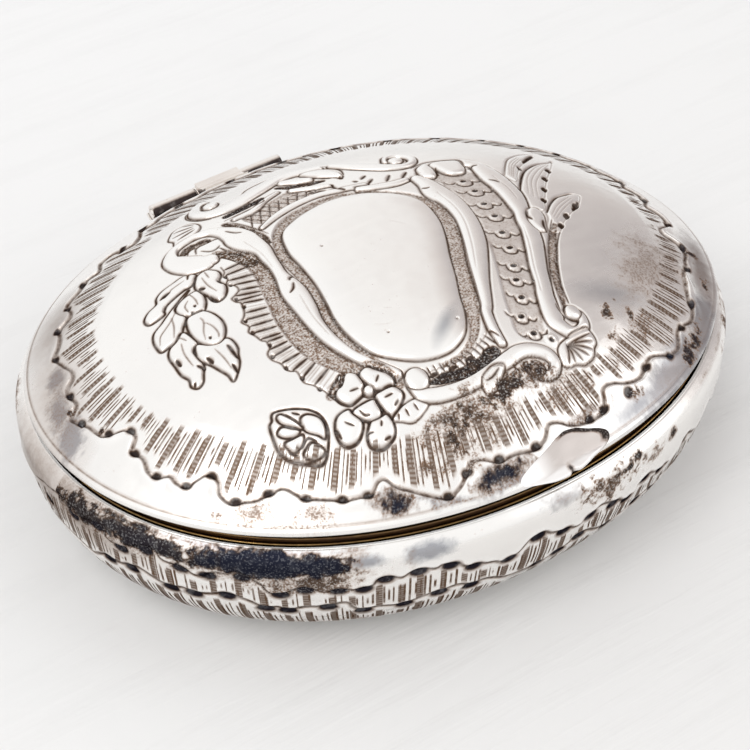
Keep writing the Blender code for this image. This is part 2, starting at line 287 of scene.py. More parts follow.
    def read(self, name, x, y):
        """A field at any points, between the raster's four nearest ones."""
        field = getattr(self, name)
        col = np.clip((x - self.x[0]) / RASTER_STEP, 0, self.x.size - 1.001)
        row = np.clip((y - self.y[0]) / RASTER_STEP, 0, self.y.size - 1.001)
        i, j = row.astype(int), col.astype(int)
        down, right = row - i, col - j
        top = field[i, j] * (1 - right) + field[i, j + 1] * right
        low = field[i + 1, j] * (1 - right) + field[i + 1, j + 1] * right
        return top * (1 - down) + low * down

    def finish(self):
        """Softens the chasing, then works out what the sheet's far side shows of it and where
        hollows hold dirt and high places are rubbed, from each point's height over the mean
        around it."""
        self.soften()
        near, wide = self.mean(self.height, NEAR_REACH), self.mean(self.height, WIDE_REACH)
        self.lining = FAR_SIDE_SHARE * self.mean(near, LINING_REACH)
        self.worn = np.clip((self.height - wide) / RUBBED_HEIGHT, -1, 1)
        hollow = np.clip(-self.worn - HOLLOW_START, 0, 1)
        self.stain = np.clip(np.maximum(self.stain, HOLLOW_STAIN * hollow), 0, 1)
        self.haze_and_reflection = np.clip(self.haze_and_reflection, 0, 1)

    def mean(self, field, reach):
        """The mean over a square of points each way, from running sums, taken twice."""
        for _ in (0, 1):
            for axis in (0, 1):
                padded = np.moveaxis(field, axis, 0)
                padded = np.concatenate([padded[:1]] * (reach + 1) + [padded] + [padded[-1:]] * reach)
                total, wide = np.cumsum(padded, 0), 2 * reach + 1
                field = np.moveaxis((total[wide:] - total[:-wide]) / wide, 0, axis)
        return field


# The box's surfaces, in millimetres

def oval_share(x, y):
    """How far out a plan point is, 0 in the middle and 1 at the lid's edge: the superellipse's sum
    of the two powers, rooted."""
    powers = np.abs(x / HALF_LENGTH) ** OVAL_POWER + np.abs(y / HALF_WIDTH) ** OVAL_POWER
    return powers ** (1 / OVAL_POWER)


def oval_point(turn, half_x, half_y):
    """The superellipse's point at an angle: each half size times the cosine or sine, which keeps
    its sign and is raised to 2 over the power."""
    cos, sin = np.cos(turn), np.sin(turn)
    x = half_x * np.sign(cos) * np.abs(cos) ** (2 / OVAL_POWER)
    return x, half_y * np.sign(sin) * np.abs(sin) ** (2 / OVAL_POWER)


def dome(x, y):
    """Height of the shut lid's plain skin: its edge plus the rise times one less the share to a
    power; and how much longer a step on the skin is than in plan, from the slope."""
    share = np.clip(oval_share(x, y), 1e-6, 1)
    height = LID_EDGE_HEIGHT + LID_EDGE + LID_RISE * (1 - share**LID_POWER)
    fall = LID_RISE * LID_POWER * share ** (LID_POWER - OVAL_POWER)
    fall_x = fall * np.abs(x / HALF_LENGTH) ** (OVAL_POWER - 1) / HALF_LENGTH
    fall_y = fall * np.abs(y / HALF_WIDTH) ** (OVAL_POWER - 1) / HALF_WIDTH
    return height, np.sqrt(1 + fall_x**2 + fall_y**2)


def disc_plan(s, t, share):
    """A square grid of s and t from -1 to 1 laid on the oval out to a share: first onto a disc, x
    being s times the root of 1 less half t squared and y the same the other way, then each ray
    of the disc stretched to the superellipse."""
    x, y = s * np.sqrt(1 - t * t / 2), t * np.sqrt(1 - s * s / 2)
    ray = np.maximum(np.hypot(x, y), 1e-9)
    powers = (np.abs(x / ray) ** OVAL_POWER + np.abs(y / ray) ** OVAL_POWER) ** (1 / OVAL_POWER)
    powers = np.maximum(powers, 0.5)
    return HALF_LENGTH * share * x / powers, HALF_WIDTH * share * y / powers


def turn_ajar(points, hinge=(0.0, 0.0)):
    """Turns points, or normals, by the worn lid's angle about a line along X at a y and z."""
    y, z = points[:, 1] - hinge[0], points[:, 2] - hinge[1]
    cos, sin = math.cos(LID_AJAR), math.sin(LID_AJAR)
    return np.stack([points[:, 0], hinge[0] + y * cos + z * sin, hinge[1] + z * cos - y * sin], 1)


def hang_ajar(points):
    """Turns points of the shut lid about the hinge's line to where the worn lid lies."""
    return turn_ajar(points, HINGE[1:])


def level_loop(x, y, level, share=1.0):
    """A loop of plan points, drawn in by a share, at a level."""
    return np.stack([x * share, y * share, np.full_like(x, level)], -1)


def grid_faces(rows, columns, wrap_rows=False, wrap_columns=False, start=0, flip=False):
    """Quads between neighbouring points of a grid stored row by row."""
    row = np.arange(rows if wrap_rows else rows - 1)[:, None]
    column = np.arange(columns if wrap_columns else columns - 1)[None, :]
    down, right = (row + 1) % rows, (column + 1) % columns
    quads = np.stack([row * columns + column, row * columns + right,
                      down * columns + right, down * columns + column], -1).reshape(-1, 4)
    return (quads[:, ::-1] if flip else quads) + start


def add_object(name, data):
    """A new object in the scene, with the data given."""
    made = bpy.data.objects.new(name, data)
    bpy.context.scene.collection.objects.link(made)
    return made


def make_piece(name, points, faces, material, body, replaced, marks=None, normals=None):
    """A mesh from arrays of points in mm and of quads, with float attributes for its material."""
    mesh = bpy.data.meshes.new(name)
    mesh.vertices.add(len(points))
    mesh.vertices.foreach_set("co", (np.asarray(points) * MM).astype(np.float32).ravel())
    mesh.loops.add(faces.size)
    mesh.loops.foreach_set("vertex_index", faces.astype(np.int32).ravel())
    mesh.polygons.add(len(faces))
    mesh.polygons.foreach_set("loop_start", np.arange(0, faces.size, faces.shape[1], dtype=np.int32))
    mesh.update(calc_edges=True)
    mesh.validate()
    for mark, values in (marks or {}).items():
        layer = mesh.attributes.new(mark, "FLOAT", "POINT")
        layer.data.foreach_set("value", np.asarray(values, np.float32))
    mesh.polygons.foreach_set("use_smooth", np.ones(len(mesh.polygons), bool))
    if normals is not None:
        mesh.normals_split_custom_set_from_vertices(normals.astype(np.float32))
    mesh.materials.append(material)
    piece = add_object(name, mesh)
    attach(piece, body)
    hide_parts(replaced)
    return piece


# The lid

SHEET_MARKS = ("stain", "grain", "haze_and_reflection", "worn", "reach")
MARKS = SHEET_MARKS + ("along", "down")


def lid_surface(sheet, x, y, depth=0.0):
    """The lid's height with its relief, at a depth from its outer skin, 0, to its lining, 1."""
    height, steep = dome(x, y)
    relief = sheet.read("height" if depth < 1 else "lining", x, y)
    return height + steep * (relief - depth * LID_WALL)


def lid_normals(sheet, x, y, depth=0.0):
    """Normals of the lid's skin from its height half a raster step to each side."""
    step = RASTER_STEP / 2
    run_x = lid_surface(sheet, x + step, y, depth) - lid_surface(sheet, x - step, y, depth)
    run_y = lid_surface(sheet, x, y + step, depth) - lid_surface(sheet, x, y - step, depth)
    normals = np.stack([-run_x, -run_y, np.full_like(run_x, 2 * step)], 1)
    normals /= np.linalg.norm(normals, axis=1)[:, None]
    return normals if depth < 1 else -normals


# The field's square grid and the columns at which its pieces meet, the rows of a ring's skin and
# back, and the rounded edge, as shares of the oval and heights
FIELD_ROWS, FIELD_COLUMNS = 441, 545
FIELD_PARTS = ((0, 170), (170, 360), (360, FIELD_COLUMNS - 1))
RING_ROWS, BACK_LOOPS = 26, 4
EDGE_SHARES = (0.9985, 0.9995, 1.0, 1.0, 0.9995, 0.9975, 0.992, 0.987)
EDGE_HEIGHTS = (17.62, 17.53, 17.44, 17.24, 17.15, 17.1, 17.1, 17.1)
# The lining's grid and its share of the oval, and how far a back's loops are drawn in
LINING_SIZE, LINING_SHARE = (201, 241), 0.987
BACK_RINGS = (0.985, 0.9, 0.78, 0.66, 0.54, 0.42, 0.3, 0.18, 0.07)


def field_piece(name, sheet, first, last, share, depth, size, material):
    """One part of the lid's middle, between two columns of the square grid: its skin, and behind
    it a plain back that closes it."""
    rows, columns = size
    s, t = np.meshgrid(np.linspace(-1, 1, columns)[first:last + 1], np.linspace(-1, 1, rows))
    s, t = s.ravel(), t.ravel()
    wide = last - first + 1
    x, y = disc_plan(s, t, share)
    front = np.stack([x, y, lid_surface(sheet, x, y, depth)], 1)
    normals = lid_normals(sheet, x, y, depth)
    ring = np.concatenate([np.arange(wide), np.arange(1, rows) * wide + wide - 1,
                           (rows - 1) * wide + np.arange(wide - 2, -1, -1),
                           np.arange(rows - 2, 0, -1) * wide])
    middle = (s[0] + s[wide - 1]) / 2
    shrink = np.array(BACK_RINGS)[:, None]
    back_s = (middle + (s[ring] - middle) * shrink).ravel()
    back_x, back_y = disc_plan(back_s, (t[ring] * shrink).ravel(), share)
    height, steep = dome(back_x, back_y)
    back = np.stack([back_x, back_y, height - steep * LID_WALL / 2], 1)
    points = np.vstack([front, back, back[-len(ring):].mean(0)[None, :]])
    count = len(ring)
    loops = [ring, *(len(front) + count * k + np.arange(count) for k in range(len(BACK_RINGS)))]
    quads = [grid_faces(rows, wide, flip=depth >= 1)]
    for outer, inner in zip(loops, loops[1:]):
        quads.append(np.stack([outer, inner, np.roll(inner, -1), np.roll(outer, -1)], 1))
    hub = np.full(count // 2, len(points) - 1)
    quads.append(np.stack([loops[-1][:-1:2], hub, np.roll(loops[-1], -2)[:-1:2], loops[-1][1::2]], 1))
    behind = np.vstack(quads[1:])
    faces = np.vstack([quads[0], behind if depth < 1 else behind[:, ::-1]])
    marks = lid_marks(sheet, points[:, 0], points[:, 1], depth)
    every = np.zeros_like(points)
    every[:len(front)] = turn_ajar(normals)
    return make_piece(name, hang_ajar(points), faces, material, "lid", "lid_shell",
                      marks, every)


def lid_along(x, y):
    """How far round the oval a plan point lies, measured at its edge, with the join at the back."""
    turn = np.arctan2(np.sign(y) * np.abs(y / HALF_WIDTH) ** (OVAL_POWER / 2),
                      np.sign(x) * np.abs(x / HALF_LENGTH) ** (OVAL_POWER / 2))
    return np.interp(np.where(turn > math.pi / 2, turn - 2 * math.pi, turn), RIM_TURNS, RIM_RUN)


def lid_marks(sheet, x, y, depth=0.0):
    """The material's marks at plan points: the sheet's fields, and the way round and out."""
    if depth >= 1:
        return {"stain": 0.3 * sheet.read("stain", x, y)}
    marks = {mark: sheet.read(mark, x, y) for mark in SHEET_MARKS}
    return dict(marks, along=lid_along(x, y), down=np.hypot(x, y))


def lid_ring(name, sheet, first, last, material):
    """A ring of the lid's skin between two shares of its oval: columns that start at the middle's
    own border points run out over the skin, round the edge if it is there, and back inside."""
    s = np.concatenate([np.linspace(-1, 1, FIELD_COLUMNS)[:-1], np.ones(FIELD_ROWS - 1),
                        np.linspace(1, -1, FIELD_COLUMNS)[:-1], -np.ones(FIELD_ROWS - 1)])
    t = np.concatenate([-np.ones(FIELD_COLUMNS - 1), np.linspace(-1, 1, FIELD_ROWS)[:-1],
                        np.ones(FIELD_COLUMNS - 1), np.linspace(1, -1, FIELD_ROWS)[:-1]])
    unit_x, unit_y = disc_plan(s, t, 1.0)
    at_edge = last > 0.99
    edge_shares = EDGE_SHARES if at_edge else ()
    back = np.linspace(0.975 if at_edge else last, first, BACK_LOOPS)
    shares = np.concatenate([np.linspace(first, last, RING_ROWS), edge_shares, back])[:, None]
    x, y = unit_x * shares, unit_y * shares
    z = lid_surface(sheet, x, y)
    z[RING_ROWS:RING_ROWS + len(edge_shares)] = np.array(EDGE_HEIGHTS[:len(edge_shares)])[:, None]
    height, steep = dome(x[-BACK_LOOPS:], y[-BACK_LOOPS:])
    z[-BACK_LOOPS:] = height - steep * LID_WALL / 2
    normals = np.zeros((x.size, 3))
    smooth = (RING_ROWS - at_edge) * len(unit_x)
    normals[:smooth] = lid_normals(sheet, x.ravel()[:smooth], y.ravel()[:smooth])
    points = np.stack([x.ravel(), y.ravel(), z.ravel()], 1)
    faces = grid_faces(len(shares), len(unit_x), True, True, flip=True)
    return make_piece(name, hang_ajar(points), faces, material, "lid", "lid_shell",
                      lid_marks(sheet, x.ravel(), y.ravel()), turn_ajar(normals))


# The base

def rim_turns(count=12001):
    """The superellipse's angle for each distance round the rim, u, from the front's middle."""
    turns = np.linspace(-1.5 * math.pi, 1.5 * math.pi, count)
    x, y = oval_point(turns, HALF_LENGTH, HALF_WIDTH)
    run = np.concatenate([[0], np.cumsum(np.hypot(np.diff(x), np.diff(y)))])
    return turns, run - np.interp(-0.5 * math.pi, turns, run)


RIM_TURNS, RIM_RUN = rim_turns()
RIM_LENGTH = float(RIM_RUN[-1] - RIM_RUN[0]) * 2 / 3


def base_profile(count=600):
    """The bowl's outer profile by the distance v down from its rim: the belly swells as one less
    the square of the height above it, and below it a quarter superellipse runs in to the foot."""
    above = np.linspace(MOUTH_HEIGHT, BELLY_HEIGHT, count // 5)[:-1]
    swell = BELLY_BULGE * (1 - ((above - BELLY_HEIGHT) / (MOUTH_HEIGHT - BELLY_HEIGHT)) ** 2)
    turn = np.linspace(0, math.pi / 2, count)
    spread = np.cos(turn) ** (2 / BELLY_POWER)
    below = BELLY_HEIGHT * (1 - np.sin(turn) ** (2 / BELLY_POWER))
    belly = (HALF_LENGTH + BELLY_BULGE, HALF_WIDTH + BELLY_BULGE)
    half_x = np.concatenate([HALF_LENGTH + swell, FOOT_HALVES[0] + (belly[0] - FOOT_HALVES[0]) * spread])
    half_y = np.concatenate([HALF_WIDTH + swell, FOOT_HALVES[1] + (belly[1] - FOOT_HALVES[1]) * spread])
    z = np.concatenate([above, below])
    run = np.hypot(np.diff(z), np.diff((half_x + half_y) / 2))
    return np.concatenate([[0], np.cumsum(run)]), half_x, half_y, z


PROFILE_RUN, PROFILE_X, PROFILE_Y, PROFILE_Z = base_profile()
PROFILE_LENGTH = float(PROFILE_RUN[-1])
PROFILE_STEP = 0.05


def wall_point(u, v, out=0.0):
    """Points of the bowl's outer skin, u round and v down it, moved out by a distance along the
    skin's normal: level, the superellipse's own, and tilted as the profile's slope is there."""
    turn = np.interp(u, RIM_RUN, RIM_TURNS)
    half_x, half_y, z = (np.interp(v, PROFILE_RUN, side) for side in (PROFILE_X, PROFILE_Y, PROFILE_Z))
    ahead_v, back_v = np.minimum(v + PROFILE_STEP, PROFILE_LENGTH), np.maximum(v - PROFILE_STEP, 0)
    grow = np.interp(ahead_v, PROFILE_RUN, PROFILE_X) - np.interp(back_v, PROFILE_RUN, PROFILE_X)
    drop = np.interp(back_v, PROFILE_RUN, PROFILE_Z) - np.interp(ahead_v, PROFILE_RUN, PROFILE_Z)
    tilt = np.arctan2(grow, drop)
    x, y = oval_point(turn, half_x, half_y)
    face_x = np.sign(x) * np.abs(x / half_x) ** (OVAL_POWER - 1) / half_x
    face_y = np.sign(y) * np.abs(y / half_y) ** (OVAL_POWER - 1) / half_y
    face = np.hypot(face_x, face_y)
    out = out + 0 * x
    return np.stack([x + out * np.cos(tilt) * face_x / face, y + out * np.cos(tilt) * face_y / face,
                     z + out * np.sin(tilt)], -1)


# Where round the rim the wall's sheet starts, how far down its two pieces meet, and how deep in
# the sheet their backs lie
WALL_START, WALL_SPLIT, HALF_WALL = -60.3, 11.0, 0.5
WALL_COLUMNS, WALL_ROWS, LOW_ROWS = 1400, 62, 30


def round_rim(count):
    """Even distances round the rim, from where the wall's sheet starts."""
    return WALL_START + RIM_LENGTH * np.arange(count) / count


def rim_oval(count, halves, out=0.0):
    """Points of an oval of two half sizes, a distance out from it, in line with round_rim's."""
    turns = np.interp(round_rim(count), RIM_RUN, RIM_TURNS)
    return oval_point(turns, halves[0] + out, halves[1] + out)


def on_sheet(u):
    """A distance round the rim, brought within the wall's sheet."""
    return WALL_START + (u - WALL_START) % RIM_LENGTH


def wall_skin(sheet, u, v):
    """Points of the bowl's chased skin: its plain one, moved out by the sheet's height."""
    return wall_point(u, v, sheet.read("height", on_sheet(u), v))


def wall_back(u, rows):
    """Plain loops at rows of a distance down the wall and an inset from its skin."""
    return [wall_point(u, np.full_like(u, depth), -inset) for depth, inset in rows]


def wall_band(sheet, first, last, rows):
    """The bowl's skin between two distances down it, row by row: its points, their normals, from
    the skin a little to each side, and its marks."""
    u, v = np.meshgrid(round_rim(WALL_COLUMNS), np.linspace(first, last, rows))
    step = 0.06
    across = wall_skin(sheet, u + step, v) - wall_skin(sheet, u - step, v)
    down = wall_skin(sheet, u, np.minimum(v + step, PROFILE_LENGTH))
    down = down - wall_skin(sheet, u, np.maximum(v - step, 0))
    normals = np.cross(down, across)
    normals /= np.maximum(np.linalg.norm(normals, axis=-1), 1e-9)[..., None]
    marks = np.stack([sheet.read(mark, on_sheet(u), v) for mark in SHEET_MARKS] + [u, v], -1)
    return wall_skin(sheet, u, v), normals, marks


def wall_piece(name, before, band, after, material, capped_ends):
    """A closed shell of plain loops, a band of skin and plain loops again."""
    skin, normals, marks = band
    columns = skin.shape[1]
    loops = list(before) + list(skin) + list(after)
    if capped_ends:
        points, faces = capped(loops)
    else:
        points = np.concatenate(loops)
        faces = grid_faces(len(loops), columns, True, True, flip=True)
    start = len(before) * columns
    every, levels = np.zeros_like(points), np.zeros((len(points), len(MARKS)))
    every[start + columns:start + (len(skin) - 1) * columns] = normals[1:-1].reshape(-1, 3)
    joined = len(skin) - 1 if capped_ends else -1
    every[start + joined * columns:][:columns] = normals[-1]
    levels[start:start + len(skin) * columns] = marks.reshape(-1, len(MARKS))
    return make_piece(name, points, faces, material, "box", "base_bowl",
                      dict(zip(MARKS, levels.T)), every)


def upper_wall(sheet, material):
    """The chased upper band, over the rim, a little down inside it, and back in the sheet."""
    band = wall_band(sheet, 0.0, WALL_SPLIT, WALL_ROWS)
    rows = [(depth, HALF_WALL) for depth in (WALL_SPLIT, 8.0, 5.0, 3.0, 1.6)]
    rows += [(1.0, BOWL_WALL), (0.06, BOWL_WALL), (0.0, BOWL_WALL - 0.06)]
    back = wall_back(round_rim(WALL_COLUMNS), rows)
    back[-1][:, 2] = MOUTH_HEIGHT
    return wall_piece("base_chased_wall", [], band, back, material, False)


def lower_wall(sheet, material):
    """From the foot's middle out and up to the chased band, and back in the sheet."""
    skin, normals, marks = wall_band(sheet, WALL_SPLIT, PROFILE_LENGTH, LOW_ROWS)
    u = round_rim(WALL_COLUMNS)
    x, y = rim_oval(WALL_COLUMNS, FOOT_HALVES)
    foot = [level_loop(x, y, 0.0, share) for share in (0.3, 0.6, 0.85, 0.97)]
    back = wall_back(u, [(depth, HALF_WALL) for depth in (WALL_SPLIT, 15.0, 18.0, 21.0, 24.0)])
    back += [level_loop(x, y, HALF_WALL, share) for share in (0.9, 0.6, 0.3)]
    return wall_piece("base_lower_wall", foot, (skin[::-1], normals[::-1], marks[::-1]), back, material, True)


# Chasing on the lid

EVERYWHERE = np.s_[:]
# How far the margin's wave is traced to each side, its half width and depth, how high its lip is,
# how far outside it and how wide, and how deep the flutes inside it are sunk
WAVE_REACH, WAVE_WIDTH, WAVE_DEPTH = 2.4, 0.26, 0.14
LIP_HEIGHT, LIP_OUT, LIP_WIDTH = 0.15, 0.55, 0.45
FLUTES_SINK = 0.13
# How far in from the lid's edge its border line runs, and its width
EDGE_LINE, EDGE_LINE_WIDTH = 0.5, 0.11
# The margin's wave line and the punches along it, by plan x and y
BORDER_WAVE = [(-15, 26.5), (-15.7, 25.5), (-16.7, 24), (-18, 23.1), (-19.2, 23.7), (-20, 25.1), (-21.5, 25),
    (-22.2, 24.2), (-23.2, 22.6), (-24.7, 23), (-25.5, 22.5), (-26.5, 21.7), (-28.5, 21), (-29.2, 19.7),
    (-29.6, 18.2), (-30.5, 17.4), (-32, 17), (-32.7, 15.5), (-33.7, 14.2), (-34.9, 13), (-35.2, 10.5),
    (-35.2, 8.5), (-35.7, 7.5), (-36.8, 6.9), (-37.3, 5.5), (-37.4, 3.9), (-38.7, 3), (-38.5, 1.2), (-38.2, 0),
    (-38, -2.2), (-37.3, -3.1), (-35.9, -4.4), (-35.8, -5.8), (-36.9, -6.8), (-36.6, -8.5), (-37, -10),
    (-36.6, -11.3), (-35.7, -12.3), (-35.6, -13.4), (-35, -14.5), (-34, -14.8), (-32.7, -15.3), (-32.5, -16.6),
    (-33, -17.6), (-32.7, -19), (-31.6, -19.9), (-30.5, -20.7), (-29, -21.2), (-27.7, -21.8), (-26.8, -23.4),
    (-25.7, -24.5), (-24.3, -25.6), (-23.2, -26.4), (-21.6, -27.1), (-20.6, -27.4), (-19.6, -27),
    (-18.8, -27.2), (-18.2, -28.3), (-17, -29.4), (-15.6, -30.6), (-14, -31.6), (-12.3, -31.5), (-11, -30.9),
    (-10, -30.3), (-8.6, -30.7), (-7.2, -31.5), (-5, -31.7), (-3, -32.1), (-1.2, -31.8), (0, -30.9), (1.2, -31),
    (2.5, -31.7), (4.5, -32), (7, -31.8), (8, -30.8), (8.6, -29.9), (10, -29.7), (12, -30.1), (14, -29.9),
    (15.5, -29), (17, -28.3), (19.5, -28.4), (21.5, -27.8), (22.8, -26.2), (24, -25.6), (26, -25),
    (27.5, -23.6), (28, -22.3), (29.2, -20.5), (30.2, -19), (31.7, -18), (32.5, -16.8), (33.6, -15.7),
    (34, -14.2), (33, -12.6), (33.4, -11.4), (35, -10.7), (36, -9.8), (36.4, -8), (35.6, -6.5), (36.8, -5),
    (37.2, -3), (36.4, -1.5), (37.6, 0), (37.4, 2), (36.4, 3.2), (36.9, 5), (36.6, 7), (35.4, 8), (35.6, 10),
    (34.8, 12), (33.2, 12.8), (33, 14.6), (31.8, 16.2), (30, 16.8), (29.6, 18.6), (27.8, 20), (26, 20.4),
    (25, 22), (22.8, 23.2), (21, 23.2), (19.6, 24.8), (17, 25.6), (15.2, 25.2), (13.4, 26.6), (10.5, 27.2),
    (8.6, 26.6), (6.4, 27.8), (3.2, 28), (1.4, 27.2), (-1, 28.2), (-4, 28.1), (-6.2, 27.2), (-8.6, 28),
    (-11.5, 27.6), (-13, 26.4)]
BORDER_PUNCHES = [(-38.4, 1.3), (-37.4, -2.8), (-35.8, -4.8), (-36.9, -7.2), (-36.7, -11.1), (-35.1, -14.4),
    (-32.7, -15.6), (-32.2, -19.3), (-29.2, -21.1), (-26.5, -23.9), (-23.5, -26.2), (-21.1, -27.4),
    (-13.9, -31.6), (-10.9, -30.9), (-7, -31.4), (-2.5, -32), (5, -31.9), (7.3, -31.6), (11.3, -31),
    (-29.2, 19.9), (-25.5, 22.6), (-35, 12.7), (-37.2, 5.7), (-19.2, 23.9), (-32.3, 17), (15.5, -29.2),
    (19.5, -28.6), (23.8, -25.8), (27.8, -23), (31.6, -18.2), (34.1, -14.6), (35.8, -10.2), (36.9, -4.6),
    (37.5, 0.6), (36.7, 5.8), (35.6, 10.4), (33.1, 14.4), (29.8, 18.2), (25.4, 21.8), (20, 24.6), (13.6, 26.7),
    (6.4, 28), (-1, 28.4), (-8.6, 28.2), (-14.6, 26.9)]
# Along the oval's angle in degrees from +X, the share of the oval where the flutes' inner ends lie
FLUTE_ENDS = [(-180, 0.79), (-150, 0.79), (-120, 0.795), (-90, 0.795), (-60, 0.80), (-30, 0.82), (0, 0.80),
    (25, 0.72), (45, 0.66), (75, 0.64), (100, 0.66), (120, 0.70), (135, 0.74), (155, 0.78), (180, 0.79)]


def lid_border(sheet):
    """The margin's wave with its punches, the flutes that run from it towards the middle, and the
    line near the lid's edge, darkened towards the left with painted shade.
    """
    x, y = np.meshgrid(sheet.x, sheet.y)
    path = catmull(BORDER_WAVE, closed=True, steps=4)
    place_in, depth = sheet.inside(path, WAVE_REACH)
    wave = np.full(sheet.height.shape, -WAVE_REACH)
    wave[place_in] = depth
    share = oval_share(x, y)
    angle = np.degrees(np.arctan2(y / HALF_WIDTH, x / HALF_LENGTH))
    ends = np.interp(angle, *zip(*FLUTE_ENDS))
    radius = np.hypot(x, y)
    inner = (share - ends) / np.maximum(share, 0.01) * radius
    sheet.reach = np.minimum(inner, wave - 0.25)
    inside = np.clip(wave / 0.5 + 0.5, 0, 1) * np.clip(inner / 1.5 + 0.3, 0, 1)
    sheet.height -= FLUTES_SINK * inside
    sheet.height += LIP_HEIGHT * np.exp(-(((wave + LIP_OUT) / LIP_WIDTH) ** 2))
    sheet.sink(EVERYWHERE, np.exp(-((wave / WAVE_WIDTH) ** 4)), WAVE_DEPTH, 0.48 + 0.3 * sheet.fleck)
    for px, py in BORDER_PUNCHES:
        around = math.degrees(math.atan2(py * 1.3, px)) + 90
        sheet.punch(px, py, 1.9, 1.3, around, depth=0.04, stain=0.6)
        sheet.punch(px, py, 1.5, 0.95, around, depth=0.06, stain=1.0)
    # The line near the lid's edge: a chased groove, darkened further towards the left with painted shade, the
    # shadow of the gap under the lid's edge.
    from_edge = (1 - share) / np.maximum(share, 0.01) * radius
    mark = np.exp(-(((from_edge - EDGE_LINE) / EDGE_LINE_WIDTH) ** 2))
    sheet.sink(EVERYWHERE, mark, 0.06, 0.34 + 0.3 * np.clip(-x / 30, 0, 1))


# The panel's outline, and the middle and half width of the groove round it
RESERVE = [(-7.9, 6.6), (-5.5, 8), (-2.6, 8.75), (0, 8.9), (2.5, 8.4), (5, 7.1), (7, 5.2), (8.2, 3), (8.4, 0.8),
    (7.6, -2.5), (6.2, -5.4), (4.3, -8.6), (2.6, -11.8), (1, -14.6), (-0.3, -17.2), (-1.9, -19.2), (-4, -20.2),
    (-6, -20.3), (-8.3, -19.6), (-10.4, -18), (-12, -16), (-12.6, -13), (-12.4, -10), (-11.6, -7.3),
    (-10.6, -3.8), (-9.9, 0), (-9.4, 3.2)]
RESERVE_GROOVE = [(-12.2, -16.8, .35), (-12.95, -14.2, .45), (-13, -11.5, .55), (-12.6, -9, .6),
    (-11.9, -6.4, .55), (-11.3, -3.8, .5), (-10.8, -1, .6), (-10.4, 2, .65), (-9.6, 4.6, .6), (-8.3, 6.9, .6),
    (-6.4, 8.5, .65), (-4, 9.4, .6), (-1, 9.6, .6), (1.5, 9.25, .6), (4, 8.3, .5), (5.9, 6.9, .4),
    (7.5, 5.2, .45), (8.7, 3.2, .5), (9.1, 0.8, .6), (8.8, -1.5, .8), (7.5, -4.6, .9), (5.7, -8, 1),
    (3.9, -11.2, 1.05), (2.2, -14.3, 1.05), (0.7, -17.2, .8), (-0.6, -19.2, .55), (-2.2, -20.5, .4),
    (-4.2, -21.2, .3), (-6.4, -21.2, .25)]


def strokes(sheet, rows, width=0.13, **how):
    """Chased lines of one kind."""
    for row in rows:
        sheet.cut(row, width, **how)


def lenses(sheet, rows, length, width, turn, stain=0.85):
    """Punched dints of one kind."""
    for x, y in rows:
        sheet.punch(x, y, length, width, turn, stain=stain)


def reserve(sheet):
    """The plain panel: a smooth pillow that rises over its shoulder in a quarter round, and the
    matted groove round it."""
    sheet.mat(RESERVE_GROOVE, stain=0.33, grain=0.8, sink=0.2)
    for side, stain in ((0.62, 0.8), (-0.62, 0.6)):
        edge = [(x + side * half * 1.1 * np.sign(x + 2), y + side * half * 1.1 * np.sign(y + 5) * 0.6)
                for x, y, half in RESERVE_GROOVE]
        sheet.cut(edge[6:22], 0.09, 0.05, 0.5 * stain)
    path = catmull(RESERVE, closed=True)
    place_in, depth = sheet.inside(path, RESERVE_SHOULDER)
    part = 1 - np.clip(depth / RESERVE_SHOULDER, 0, 1)
    crown = RESERVE_RISE * np.sqrt(1 - part**2.2) * 0.92 + 0.04
    sheet.swell(place_in, depth, crown, 0.15, 0.8)
    sheet.tarnish(-3.3, -17.5, 3.3, 0.95, 0.0, 0.06, 33, haze_and_reflection=0.8)
    lenses(sheet, [(-1.6, -17.5), (-9.1, -15.2), (-6.2, 1.1)], 0.4, 0.3, 20, 0.6)
    strokes(sheet, [[(-9.8, -13.4), (-8.6, -14.2), (-7.4, -14.3)], [(-7.4, -12.1), (-6.6, -12.6)], [(2.6, 0.6),
        (3.8, -1.4)]], 0.05, depth=0.02, stain=0.3)


